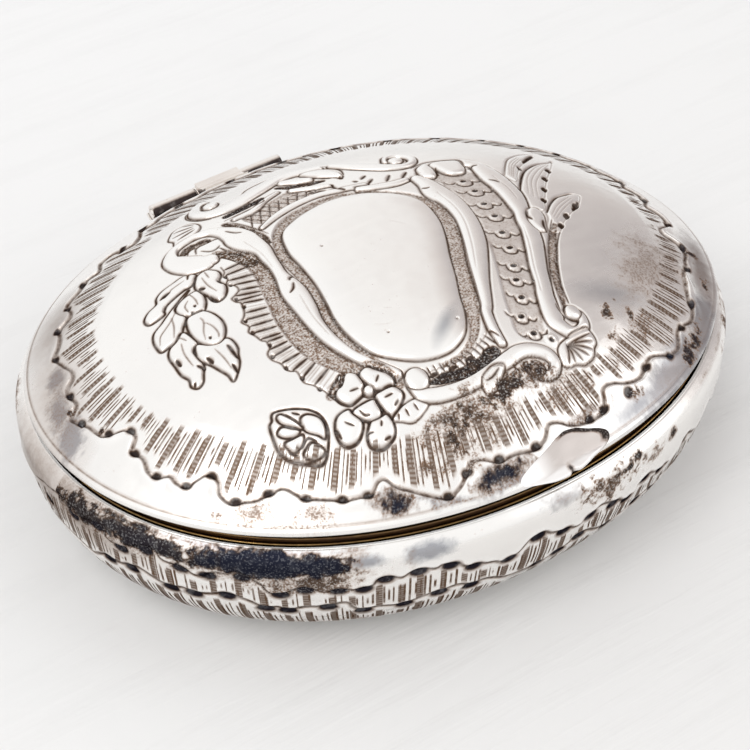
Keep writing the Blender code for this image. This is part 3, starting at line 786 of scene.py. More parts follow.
def right_bars(sheet):
    """The two scrolled bars to the right of the panel, and the scale band between them."""
    sheet.mat([(12.6, 7.2, .9), (15.2, 4.4, 2.4), (15, 0, 2.6), (13.6, -5, 2.4), (11.4, -10.2, 2.2),
        (9, -14.4, 2), (6.9, -18, 1.9), (5.1, -21.5, 1.7)], stain=0.2, grain=0.35, sink=0.14)
    beads = [(15.45, 3.2), (15.15, .6), (14.2, -2.3), (13.6, -5), (12.2, -8.1), (11.1, -10.8), (9.45, -13.5),
        (8.2, -15.5), (7, -17.9), (5.2, -20.05), (5.05, -22.35)]
    scallops = [[(-2, -.8), (-1.75, -.25), (-1.3, -.05), (-.85, -.3)], [(-.95, -.15), (-.7, .7), (0, 1.05),
        (.7, .85), (1, .05)], [(.95, .05), (1.25, .5), (1.7, .6), (2.15, .15)]]
    runs = np.gradient(np.array(beads), axis=0)
    for (x, y), (run_x, run_y), wide in zip(beads, runs, np.linspace(1.05, 0.8, len(beads))):
        cos, sin = np.array([-run_y, run_x]) / math.hypot(run_x, run_y)
        for arc, width in zip(scallops, (0.15, 0.2, 0.18)):
            across, down = np.array(arc).T * wide
            row = np.stack([x + across * cos + down * sin, y + across * sin - down * cos], 1)
            sheet.cut(row, width, 0.16, 0.8, ends=0.3)
        sheet.punch(x, y, 1.3, 1.1, 0, depth=-0.16, stain=0.1)
        sheet.punch(x, y, 0.95, 0.72, 0, depth=0.24, stain=0.95)
    sheet.bar([(11.2, 6.6, .7), (11.35, 4.8, 1.15), (11.1, 2.8, 1.55), (11.25, 1, 1.4), (11.1, -1, 1.3),
        (10.5, -3.4, 1.25), (9.6, -5.6, 1.3), (8.2, -8.2, 1.3), (6.35, -11, 1.17), (4.5, -14, .87),
        (2.75, -17, .65), (2, -18, .6), (1.25, -20, .6), (.9, -22, .5)], 0.55)
    sheet.cut([(10.1, 4.2), (10.5, 3.8), (10.9, 3.7)], 0.16)
    sheet.cut([(10.9, 2.2), (10.6, -1.4), (9.6, -4.6), (7.6, -8.4), (5.2, -12.2)], 0.07, 0.05, 0.25)
    sheet.bar([(18.4, 7.3, .8), (19.3, 5.9, .9), (19.2, 4, 1.3), (18.95, 2, 1.5), (18.7, 0, 1.45),
        (18.3, -2, 1.4), (17.6, -4, 1.25), (16.8, -5.9, 1), (16, -7.4, 1), (15.3, -9.2, 1.05),
        (14.2, -11.2, 1.1), (12.9, -13.2, 1.05), (11.6, -15.2, 1), (10.5, -17.3, .95), (9.5, -19, 1),
        (8.5, -21.5, 1.15), (8.4, -22.6, .95), (9.1, -23.8, .75), (10.2, -24, .6), (11.3, -23.4, .6),
        (11.6, -22.2, .55), (10.9, -21.3, .5)], 0.55)
    sheet.bead(11, -21.8, 0.9, 0.55)
    sheet.cut([(9.8, -20.3), (9.6, -21.2), (10.1, -22.5), (10.8, -22.9)], 0.14)
    sheet.pad([(12.1, 6.6), (12.2, 7.6), (12.6, 8.6), (13.4, 9.1), (14.4, 9.2), (14.3, 7.6), (13.8, 6.2),
        (13, 5.7)], 0.5)
    sheet.pad([(14.6, 8.7), (15.8, 8.9), (17.5, 8.3), (18.2, 7.6), (17.9, 6.3), (17, 4.9), (15.6, 4.9),
        (14.8, 5.8), (14.6, 7.2)], 0.5)
    strokes(sheet, [[(14, 6), (14.3, 6.8), (14.7, 7.6)], [(17.9, 5.4), (18.6, 5.5), (19.2, 5.3)], [(18, 1.5),
        (18.4, 1), (18.6, .3)]], 0.19)
    sheet.pad([(17.2, -6.3), (18.2, -5.7), (18.9, -6.2), (18.8, -7.4), (17.9, -8.9), (16.9, -10.2), (16, -9.6),
        (16.2, -7.8)], 0.5, 0.8, 0.13, 0.6)
    strokes(sheet, [[(17.3, -6.1), (16.7, -7), (16.7, -8)], [(17.8, -8.5), (17.1, -9.5), (16.9, -10.3)]], 0.24)
    sheet.cut([(12.4, 9.4), (14.6, 9.7), (17.4, 8.9), (19.6, 7.6), (20.5, 5.6), (20.6, 4)], 0.14)
    sheet.cut([(18.9, 2), (18.6, -1.2), (17.9, -3.8)], 0.08, 0.05, 0.3)
    sheet.cut([(14.9, -8.4), (13.4, -11.4), (11.2, -15), (9.4, -18.4)], 0.08, 0.05, 0.25)


def foot_scroll(sheet):
    """The C-scroll under the panel with its two volutes, the dashes above it and the shells."""
    x = np.linspace(-9.6, 0.6, 15)
    for k, start in enumerate(x):
        low = -19.9 - 1.1 * math.sin(math.pi * (start + 10.6) / 12)
        sheet.cut([(start, low), (start - 0.25 + 0.05 * k, low - 1.3)], 0.15, 0.12, 0.8)
    sheet.mat_area([(-9, -22.1), (-7, -21.9), (-5.5, -22.3), (-4.5, -22.4), (-3.6, -21.8), (-2.6, -22.3),
        (-1.2, -21.7), (-.1, -21.9), (.1, -22.9), (-2, -23.3), (-4.5, -23.6), (-6.5, -23.3), (-8.2, -22.8)],
        0.72, 0.9, 0.2)
    lenses(sheet, [(-8, -21.6), (-5.7, -21.95), (-3.4, -21.9), (-.9, -21.9)], 1.5, 0.6, 0)
    sheet.cut([(-9.4, -20.9), (-7, -21.3), (-4.6, -21.6), (-2.2, -21.2), (0, -20.4), (.7, -19.4)], 0.11, 0.08,
        0.6)
    sheet.pad([(5.7, -26.6), (6.3, -27), (7.2, -27), (8.2, -27.3), (9.2, -27.1), (10, -26.7), (10.5, -26.1),
        (11.2, -25.6), (11.4, -24.6), (11, -24), (8.5, -24.2), (6.4, -24.9)], 0.3, 1.2)
    for end in [(6.4, -26.8), (7.2, -26.9), (8.2, -27), (9.3, -26.7), (10.2, -26.2), (10.8, -25.4),
                (11.2, -24.6)]:
        sheet.cut([(7.6, -24.9), ((7.6 + end[0]) / 2 + .1, (-24.9 + end[1]) / 2), end], 0.2, 0.12, 0.75,
            ends=0.1)
    sheet.pad([(-14.8, -23.3), (-14, -24), (-13.2, -24.6), (-12.3, -24.6), (-11.6, -24.4), (-10.8, -24.1),
        (-10.2, -23.6), (-10.6, -22.9), (-12.4, -22.7), (-14, -22.8)], 0.28, 1)
    strokes(sheet, [[(-13, -23.2), (-13.1, -24)], [(-11.9, -23.2), (-11.9, -24)], [(-13.9, -23.2),
        (-14.2, -23.7)]], 0.18)
    sheet.bar([(-10.6, -21.6, .75), (-10.5, -22.8, .75), (-9.3, -23.6, .8), (-7.5, -24.1, .75),
        (-5.5, -24.35, .7), (-3.5, -24.3, .7), (-1.5, -24.1, .75), (.3, -23.85, .8), (2, -23.65, .75),
        (3.6, -24.1, .75), (4.8, -25.1, .75), (4.9, -26.2, .65), (3.8, -27, .5), (2.5, -26.6, .55),
        (2, -25.8, .6)], 0.55)
    sheet.bead(-9.95, -21.2, 1.3, 0.6)
    sheet.bead(2.6, -26, 0.85, 0.5)
    sheet.pad([(-3.3, -24.3), (-3.9, -24.7), (-4.3, -25.4), (-4.2, -26.2), (-3.3, -26.1), (-2.3, -25.6),
        (-1.2, -24.9), (-.7, -24.3), (-1.8, -23.9)], 0.5, 0.6)
    strokes(sheet, [[(-2.8, -25.8), (-1.6, -25.5), (-.6, -25)], [(-3.6, -25), (-2.6, -24.9), (-1.4, -24.4)]],
        0.2)
    sheet.punch(6.35, -23.85, 1.6, 1.6, 0, -0.14, 0.1)
    sheet.punch(6.35, -23.85, 0.7, 0.7, 0, 0.2, 0.95)


def left_scroll(sheet):
    """The long S-scroll to the left of the panel, the matted band behind it and its fringe."""
    fringe = [(-16.3, 6.5), (-16.5, 5.5), (-17, 4.9), (-17, 4), (-17.5, 3.5), (-17.1, 2.4), (-17.2, 1.5),
        (-17.9, 1.1), (-18.6, .8), (-18.6, 0), (-18.3, -.6), (-18.8, -1.9), (-19.3, -2.6), (-20, -3.2),
        (-19.8, -4.3), (-20.3, -5), (-20.1, -6), (-20, -7), (-19.7, -7.5), (-19.9, -8.4), (-20.6, -9),
        (-20.7, -10), (-20.3, -11), (-20.2, -12.3), (-19.6, -13), (-19.8, -14.5), (-19.2, -15.5),
        (-18.7, -16.8), (-18.4, -18), (-18.1, -19)]
    inner = np.array([(-15.1, 9.2), (-14.2, 7.5), (-14, 5.5), (-14.2, 3.5), (-14.9, 1.2), (-15.8, -1),
        (-16.6, -3.2), (-17.3, -5.3), (-17.8, -7.5), (-18, -9.8), (-17.8, -12), (-17.1, -14), (-16.2, -16)])
    sheet.cut(fringe, 0.15, 0.12, 0.75, ends=0.6)
    outer = catmull(fringe, steps=6)
    for k, (x, y) in enumerate(outer[4:-2:2]):
        near = catmull(inner, steps=8)
        close = near[np.argmin(np.hypot(near[:, 0] - x, near[:, 1] - y + 0.3))]
        wide = k % 4 == 0
        row = [(x * 0.94 + close[0] * 0.06, y * 0.94 + close[1] * 0.06), tuple(close)]
        sheet.cut(row, 0.24 if wide else 0.09, 0.14 if wide else 0.06, 0.9 if wide else 0.5, ends=0.3)
    lenses(sheet, [(-16.95, 4.6), (-17.4, 2.9), (-18.3, .4), (-18.4, -1.3), (-19.6, -3.3), (-20, -5.3),
        (-19.7, -8.1), (-20.4, -9.6), (-20.2, -11.8), (-19.6, -14), (-19, -16.2), (-18.4, -17.4)], 0.8, 0.5, 80)
    sheet.mat([(-15.1, 9.2, .6), (-14, 7.5, .95), (-13.4, 5.5, 1.05), (-13.4, 3.5, 1), (-13.9, 1.2, 1),
        (-14.7, -1, 1), (-15.4, -3.2, 1), (-16, -5.3, 1.15), (-16.4, -7.5, 1.25), (-16.6, -9.8, 1.3),
        (-16.5, -12, 1.25), (-15.9, -14, 1.15), (-15.2, -15.8, .9)], 0.36, 0.9, 0.16)
    sheet.mat([(-15.1, 9, .5), (-14, 7, .8), (-13.4, 4.6, .8)], 0.5, 1.0, 0.04)
    sheet.mat([(-10.9, 13.9, .4), (-10.3, 12, .45), (-9.8, 10, .45), (-9.6, 8, .45), (-9.7, 6.5, .3)], 0.5, 0.8)
    sheet.cut([(-10.5, 14.2), (-9.9, 12.8), (-9.4, 11), (-9, 9.2), (-8.8, 8)], 0.12)
    sheet.mat([(-17.5, 12.7, .5), (-16.5, 13.1, .6), (-15.4, 12.9, .6), (-14.2, 12.5, .4)], 0.5, 0.6)
    strokes(sheet, [[(-17.3, 11.9), (-16.6, 13), (-15.2, 13.4), (-13.9, 13)], [(-16.6, 11.2), (-16, 12.2),
        (-14.9, 12.5), (-13.7, 12.1)]], 0.16)
    sheet.bar([(-16.3, 8.7, 1.0), (-17.1, 8.9, 1.45), (-18.2, 9.8, 1.7), (-18.9, 11.3, 1.5), (-19, 12.9, 1.0),
        (-17.6, 14.4, .6), (-15, 14.7, .55), (-13.2, 14, .7), (-12.2, 12.6, 1), (-11.7, 11, 1.5),
        (-11.6, 9, 1.8), (-11.2, 6, 1.1), (-11.6, 4, .9), (-12, 2, .75), (-12.5, 0, .8), (-13, -3, 1.45),
        (-13.6, -6, 1.3), (-14.3, -9, .95), (-14.4, -12, .8), (-13.8, -15, .6), (-13.1, -16.5, .6),
        (-12.3, -18, .6), (-11.4, -19.6, .6)], 0.58)
    strokes(sheet, [[(-15.9, 11.3), (-15.3, 10.3), (-14.6, 10.1), (-13.9, 10.4)], [(-15.2, 12.3), (-14, 12.2),
        (-13.2, 11.9)], [(-14.2, 10), (-14, 9), (-13.6, 8.5)], [(-12.1, 12), (-11.6, 10.8), (-11, 10.2)]], 0.17)
    strokes(sheet, [[(-12.4, -2.2), (-13, -3), (-13.7, -3.4)], [(-12.5, -1.6), (-12.2, -1.2), (-11.6, -1.1)],
        [(-11.4, -3.2), (-11.6, -2.6)]], 0.2)
    sheet.cut([(-12, 8.4), (-11.9, 5), (-12.5, 1.6)], 0.08, 0.05, 0.3)
    sheet.cut([(-13.1, -4.4), (-14, -8), (-14.3, -11.6)], 0.08, 0.05, 0.3)


def top_scrolls(sheet):
    """The scrolls, the lattice and the leaves between the panel and the hinge."""
    sheet.mat_area([(-8.9, 13.3), (-7.9, 10.3), (-5.5, 11.2), (-3, 11.7), (0, 11.6), (1.8, 11.2), (-.5, 13),
        (-1.7, 14.6), (-4.5, 14.1)], 0.25, 0.5, 0.12)
    for k in range(8):
        x = -9.2 + 1.25 * k
        sheet.cut([(x, 14.1 - 0.08 * k), (x + 1.9, 10.9)], 0.11, 0.12, 0.85, ends=0.8)
        sheet.cut([(x, 10.7), (x + 1.9, 14.0 - 0.1 * k)], 0.11, 0.12, 0.85, ends=0.8)
    sheet.bar([(-8.6, 9.6, .3), (-6, 10.6, .5), (-3, 11.15, .55), (0, 11.1, .5), (3, 10.2, .5), (5.6, 9.3, .5)],
        0.3)
    sheet.bar([(-9.6, 13.9, .3), (-7, 13.9, .45), (-4.6, 14.9, .4), (-2.6, 15.4, .3)], 0.3)
    sheet.mat([(-1.8, 16.6, .3), (-.5, 15.2, .55), (1, 14.5, .55), (2.8, 13.8, .3)], 0.6, 0.9)
    sheet.bar([(-1.3, 14.5, .3), (0, 13.6, .45), (1.5, 12.7, .45), (2.6, 12, .3)], 0.35)
    sheet.cut([(-.7, 12.6), (.6, 12.1), (1.8, 11.3)], 0.25, ends=0.1)
    sheet.bar([(-.8, 17.3, .5), (.6, 16.3, .8), (1.8, 15.2, .5)], 0.45)
    sheet.bar([(2.5, 17.5, .7), (3.8, 15.8, 1.1), (4.6, 14.3, .8), (4.9, 13.2, .3)], 0.5)
    sheet.cut([(1.8, 17), (2.4, 15.8), (3, 14.7), (3.8, 13.7)], 0.24)
    sheet.cut([(4.9, 17), (5.8, 15.8), (6, 14.6), (5.5, 13.3)], 0.16)
    sheet.bar([(6, 16.6, .5), (7.4, 14.8, .85), (9, 12.8, .9), (10.4, 11.3, .8), (12, 10.3, .55),
        (13.5, 10.6, .55), (14.2, 12, .6), (13.4, 13.5, .55), (12, 13.7, .5), (11.2, 12.8, .45)], 0.5)
    sheet.bead(12.3, 12.3, 0.9, 0.5)
    strokes(sheet, [[(4.7, 13.1), (4.7, 12.5)], [(2.8, 12.2), (2.7, 10.8), (3.2, 9.8)]], 0.3)
    strokes(sheet, [[(6.2, 10.8), (7.2, 11.3)], [(6, 9.2), (7.3, 10)], [(8.2, 8.4), (9.4, 9.5)], [(10.1, 7.9),
        (11.4, 8.9)], [(5.2, 11), (5.6, 10.6)], [(4.6, 9.2), (5, 8.8)]], 0.25)
    sheet.bar([(4.5, 9, .4), (6.5, 8, .55), (8.5, 7.3, .6), (10, 7.2, .5)], 0.35)
    sheet.mat([(-9.8, 15.5, .35), (-7.2, 15.5, .5), (-4.6, 15.6, .35)], 0.85, 0.8)
    for k in range(9):
        sheet.cut([(-9.6 + 0.6 * k, 15.1), (-9.5 + 0.6 * k, 16)], 0.12, 0.1, 0.9)
    sheet.bar([(-9.2, 21.9, .9), (-10.7, 20.9, .8), (-11.2, 19.5, .85), (-10.6, 18.1, .9), (-9, 17.4, 1.1),
        (-7, 17.5, 1.3), (-5, 17.8, 1.2), (-3, 18.3, 1.2), (0, 18.9, 1), (2.5, 18.3, .9), (4.6, 17.2, .5)], 0.6)
    sheet.bead(-9, 20.2, 0.95, 0.55)
    strokes(sheet, [[(-10.6, 22.2), (-11.7, 21.4), (-12.3, 20.2), (-12.3, 19), (-11.9, 17.8), (-11, 16.8)],
        [(-5.8, 18.6), (-4, 19.9), (-1, 20.2), (2, 19.8), (4, 18.8), (5.8, 17.2)], [(-10.5, 14.7), (-8, 14.6),
        (-5.2, 14.6), (-4.8, 15)]], 0.13)
    sheet.pad([(-16.9, 15.2), (-16.5, 16.3), (-16.6, 17.2), (-16, 18), (-14.8, 18.9), (-13.2, 18.6),
        (-12.6, 17.2), (-13.2, 15.8), (-15, 15.3)], 0.3, 1.2)
    strokes(sheet, [[(-13.6, 16.2), (-16.2, 16)], [(-13.5, 16.6), (-16.2, 17.1)], [(-13.3, 17), (-15.4, 18.2)],
        [(-13, 17.4), (-13.9, 18.6)]], 0.16, ends=0.1)


def leaf_sprig(sheet):
    """The spray of seven leaves that hangs to the left of the scroll."""
    leaves = [[(-19.9, 8.6), (-21.5, 8.6), (-23, 8.5), (-24, 8), (-24.6, 7.1), (-25.9, 6.8), (-26.8, 6.1),
        (-26.9, 5.2), (-26.3, 4.9), (-25, 4.9), (-24.7, 5.4), (-24, 6), (-22.8, 6.3), (-21.3, 6.5),
        (-20.5, 6.4), (-19.5, 6.9), (-18.9, 7.5)], [(-21, 6), (-23, 5.2), (-25, 4.3), (-26, 3.8), (-27.3, 3.3),
        (-28, 2.3), (-28.3, 1), (-28.2, .3), (-27.2, .2), (-26.5, .2), (-25.6, .5), (-24.6, 1.5), (-23.7, 2.3),
        (-23.8, 3.5), (-23.7, 4.5), (-22.5, 5.2)], [(-22.8, 5), (-23.8, 4.3), (-23.9, 3.2), (-23.4, 2.3),
        (-22.8, 1.8), (-21.9, 1.6), (-21.2, 2.2), (-20.7, 3), (-20.4, 4), (-20.5, 5), (-21.3, 5.2)],
        [(-26.6, 0), (-27.6, -.3), (-28.2, -1.2), (-28.4, -2.6), (-28.6, -4.2), (-28.4, -5.4), (-28.7, -6.3),
        (-28.3, -7), (-27.6, -6.8), (-27, -6), (-26.4, -5.2), (-26.1, -4.2), (-26.1, -2.8), (-25.5, -2.1),
        (-25, -1.9), (-25, -.5), (-25.3, .6)], [(-25.3, -2.2), (-26, -3.2), (-26.2, -4.3), (-25.8, -5.5),
        (-25.5, -6.8), (-25.2, -8.2), (-25.2, -9.2), (-24.3, -8.6), (-23.5, -7.8), (-23, -6.8), (-22.5, -6),
        (-22.3, -5), (-22.4, -4.2), (-22.8, -3.8), (-23.6, -3.9), (-24.4, -3.3)], [(-23.7, 2), (-24.4, 1),
        (-24.8, -.3), (-24.9, -1.6), (-24.6, -2.8), (-24, -3.6), (-23.2, -3.9), (-22.5, -3.5), (-21.8, -2.6),
        (-21.4, -1.4), (-21.4, 0), (-21.7, 1.2), (-22.2, 1.7)], [(-18.9, 7.3), (-19.7, 6.6), (-20.3, 5.6),
        (-20.3, 4.6), (-20.1, 3.4), (-20, 2), (-19.6, 1.6), (-18.9, 1.8), (-18.2, 2.5), (-17.8, 3.4),
        (-17.9, 4.5), (-17.2, 5.2), (-17, 6), (-17.3, 6.8), (-17.8, 7.3)]]
    for outline in leaves:
        sheet.pad(outline, 0.5, 1.1, 0.17, 0.9)
    veins = [[(-20.5, 7.6), (-22.4, 7.5), (-23.6, 7)], [(-24, 3.9), (-25.3, 3), (-26.3, 2.5), (-27.3, 2),
        (-28, 1)], [(-24.9, 3.5), (-25.5, 2), (-26.4, .6)], [(-22.2, 4.2), (-23, 3.6), (-23.2, 2.6)],
        [(-21.5, 5), (-21.6, 3.6), (-21.9, 2.6)], [(-22.9, .7), (-23, -.2), (-23.8, -1.4), (-24.3, -2.5)],
        [(-23, -.2), (-22.7, -1.5), (-22.8, -2.8), (-23.1, -3.4)], [(-26.4, -.8), (-27, -2.4), (-27.3, -4.6)],
        [(-26, .2), (-25.8, -1)], [(-24.4, -4.4), (-24.4, -6.2), (-24.6, -8)], [(-18.2, 7), (-18.5, 5.5)],
        [(-19, 6.4), (-19.3, 4.6), (-19.2, 2.8)]]
    strokes(sheet, veins, 0.11, depth=0.1, stain=0.65)
    heavy = [[(-20.1, 3.1), (-20.1, 2.2), (-19.8, 1.5)], [(-18, 4.6), (-17.8, 3.5)], [(-23.1, -5),
        (-23.3, -7.2)], [(-25.6, -4.7), (-25.5, -5.8)], [(-22.6, 7.4), (-24, 7.2)], [(-28, -2.2),
        (-28.1, -3.4)], [(-26.9, -4.8), (-26.5, -5.6)], [(-20.2, 5.1), (-19.8, 4.4)], [(-24.2, -7.6),
        (-24.3, -8.6)]]
    strokes(sheet, heavy, 0.27, depth=0.16, stain=0.95)
    lenses(sheet, [(-22.2, 2.8), (-22.9, 2.2), (-23.8, -2.7), (-28.4, -6.5)], 0.6, 0.4, 70)
    sheet.cut([(-18.6, 8.2), (-19.4, 8.4), (-20.2, 7.4)], 0.2)


def flower(sheet):
    """The six-petalled flower at the scroll's foot, and the rosebud beside it."""
    sheet.mat([(-18.6, -17.6, .5), (-16.4, -16.6, .6), (-14.6, -16.6, .6), (-12.6, -18, .6),
        (-11.9, -20.6, .6)], 0.35, 0.8, 0.1)
    petals = [[(-18.1, -19.9), (-19.4, -19.9), (-20.3, -20.8), (-20.6, -22), (-20.2, -22.8), (-19.2, -23),
        (-18.3, -22.6), (-17.6, -21.8), (-17.7, -20.6)], [(-15.7, -19.4), (-16.6, -19.6), (-17.5, -19.6),
        (-18.1, -18.9), (-18.2, -18), (-17.7, -17.5), (-17, -17.4), (-16.3, -16.8), (-15.8, -16.5),
        (-15.2, -16.8), (-14.8, -17.5), (-14.9, -18.3), (-15.1, -18.8)], [(-14.8, -18), (-14.6, -17.3),
        (-13.8, -17.1), (-13.3, -17.4), (-13, -17.9), (-12.3, -18.8), (-12, -19.8), (-12.4, -20.4),
        (-13.2, -20.3), (-14, -20), (-14.4, -19.6)], [(-14.9, -20.5), (-13.9, -20.3), (-12.7, -20.5),
        (-12.2, -21.2), (-12.3, -21.9), (-13.2, -22.5), (-14.2, -22.9), (-14.8, -22.8)], [(-17.2, -22.5),
        (-18, -23.3), (-18.2, -24.2), (-17.4, -24.9), (-16.4, -24.9), (-15.4, -24.5), (-14.9, -23.5),
        (-15, -22.6), (-15.6, -22.4), (-16.5, -22.1)], [(-17.6, -20.3), (-17.7, -21), (-17, -22),
        (-16.2, -22.4), (-15.4, -22.2), (-15.2, -21.2), (-15.3, -20.5)]]
    for outline in petals:
        sheet.pad(outline, 0.55, 1.0, 0.19, 0.95)
    strokes(sheet, [[(-16.4, -17), (-17, -17.1)], [(-12.7, -17.9), (-12.5, -18.7)], [(-13.1, -22.1),
        (-13.8, -22.4)], [(-17.3, -23.4), (-17.9, -23)], [(-16, -24.6), (-16.8, -24.6)], [(-17.2, -20.8),
        (-17, -21.5), (-16.5, -21.8)], [(-15, -20.7), (-15.05, -22)], [(-20.3, -20.6), (-20.4, -22)],
        [(-19.2, -20.9), (-18.6, -21.8)], [(-16.8, -18.6), (-15.8, -18.8)], [(-13.2, -18.8), (-13.9, -19.3)],
        [(-16.3, -23.4), (-15.9, -22.9)], [(-13.2, -21.3), (-14.2, -21.2)]], 0.17, depth=0.12, stain=0.9)
    sheet.punch(-15.05, -19.5, 1.7, 1.7, 0, 0.12, 0.9)
    sheet.bead(-15.05, -19.5, 0.55, 0.6)
    sheet.pad([(-24.4, -15.3), (-23.3, -15.8), (-22.2, -16.6), (-21.3, -17.5), (-20.8, -18.5), (-20.8, -19.6),
        (-21.2, -20.6), (-22, -21.6), (-22.8, -22.3), (-23.5, -22.4), (-24.4, -21.6), (-25.3, -20.7),
        (-25.9, -19.8), (-26.1, -18.6), (-25.8, -17.3), (-25.4, -16.2), (-24.9, -15.9)], 0.35, 1.5, 0.2, 0.95)
    folds = [[(-22.6, -17.8), (-21.8, -17.8), (-21, -18.8), (-21, -19.8), (-21.7, -20.8), (-22.1, -20.2),
        (-22.9, -19)], [(-24.4, -16), (-23.9, -16), (-23.3, -17.2), (-23, -18.6), (-23.6, -17.9),
        (-24.4, -16.8)], [(-25.3, -17.4), (-24.6, -17.2), (-23.9, -18), (-23.4, -18.6), (-24, -18.8),
        (-25, -18.2)], [(-25.3, -18.7), (-24.4, -18.9), (-23.4, -19.2), (-24, -19.9), (-25, -20),
        (-25.3, -19.4)], [(-24.4, -20.8), (-23.2, -20.4), (-22.7, -21), (-22.5, -21.8), (-23.3, -22),
        (-24, -21.6)]]
    for outline in folds:
        sheet.pad(outline, 0.6, 0.6, 0.17, 0.95)
    strokes(sheet, [[(-22.9, -16.6), (-22.4, -17.3)], [(-24.2, -20.2), (-23.2, -19.8), (-22.6, -20.6)],
        [(-25.5, -19.6), (-24.9, -20.6)]], 0.2, stain=0.95)


def feathers(sheet):
    """The three sweeping leaves to the right of the bars, and the matted stem of the last one."""
    sheet.pad([(20.8, 2.1), (22.1, 3.7), (24, 5.7), (25.7, 6.6), (27.1, 7), (28.5, 7.1), (28.6, 6.4),
        (27.1, 5.5), (25.4, 4.4), (23.8, 3.2), (22.2, 1.6), (21, .2)], 0.22, 0.9, 0.1, 0.3)
    sheet.pad([(19.6, -2.2), (21.7, .2), (23.6, 2), (25.5, 3.1), (27.2, 3.7), (28.6, 3.9), (30.1, 4.7),
        (28.6, 3), (26.9, 1.3), (24.6, -.9), (22.6, -3.1), (20.8, -5.2), (19.5, -6.6), (18.4, -5.5)], 0.26, 0.9,
        0.1, 0.3)
    sheet.pad([(19, -8.2), (19.6, -7.1), (21.1, -5.8), (22.8, -4.8), (24.4, -4.5), (25.7, -4.4), (26.3, -4.9),
        (25.2, -6.2), (23.8, -7.2), (21.7, -8.4), (19.8, -9.6), (18.2, -10.9), (17.6, -9.9)], 0.26, 0.9, 0.1,
        0.3)
    stem = [(18.6, -9.6, .35), (17, -11.2, .5), (15.2, -13.4, .6), (13.7, -15.3, .55), (12.5, -17.2, .5),
        (11.5, -19.2, .4), (10.8, -20.6, .25)]
    sheet.mat(stem, 0.4, 0.7, 0.14)
    sheet.cut([(19, -8.7), (16.7, -10.9), (14.3, -13.8), (12.7, -15.9), (11, -18.5), (9.9, -21)], 0.15, 0.12,
        0.7)
    sheet.cut([(18.4, -10.8), (16.4, -12.7), (14.8, -14.6), (13.6, -16.3), (12.4, -18.3), (11.5, -20.6)], 0.17,
        0.14, 0.8)
    strokes(sheet, [[(20.8, 2.1), (22.1, 3.7), (24, 5.7), (25.7, 6.6), (27.1, 7), (28.3, 7.1)]], 0.15,
        stain=0.6)
    strokes(sheet, [[(19.6, -2.2), (21.7, .2), (23.6, 2), (25.5, 3.1), (27.2, 3.7), (28.6, 3.9), (30.1, 4.6)],
        [(19.6, -7.1), (21.1, -5.8), (22.8, -4.8), (24.4, -4.5), (25.7, -4.4), (26.3, -5)]], 0.24, depth=0.16,
        stain=0.85)
    strokes(sheet, [[(28.6, 6.5), (27.1, 5.6), (25.6, 4.6)], [(23.9, 3.5), (23.7, 2.6)], [(24.9, -6.3),
        (23.9, -7), (23, -7.6)]], 0.26, depth=0.16, stain=0.9, ends=0.6)
    for share in (0.25, 0.5, 0.75):
        strokes(sheet, [[(20 + .4 * share, -2.4 - 3.2 * share), (22.6, .9 - 3.2 * share),
            (25.4, 2.9 - 2.6 * share), (28.2, 3.8 - share)], [(21.2, 2 - 1.4 * share),
            (23.4, 4.8 - 1.7 * share), (26, 6.4 - 1.3 * share)], [(19.6, -7.6 - 1.6 * share),
            (21.8, -5.9 - 2 * share), (24.6, -4.8 - 1.5 * share)]], 0.08, depth=0.05, stain=0.34)
    for x, y, length, turn in ((27, 1.6, 1.5, 40), (24.8, -.4, 1.5, 45), (22.8, -2.7, 1.5, 45),
                               (21, -4.8, 1.3, 48), (24, -6.9, 1.7, 42), (21.3, -8.5, 1.5, 38),
                               (19.3, -9.9, 1.4, 38)):
        sheet.punch(x, y, length, 0.95, turn, stain=0.8)
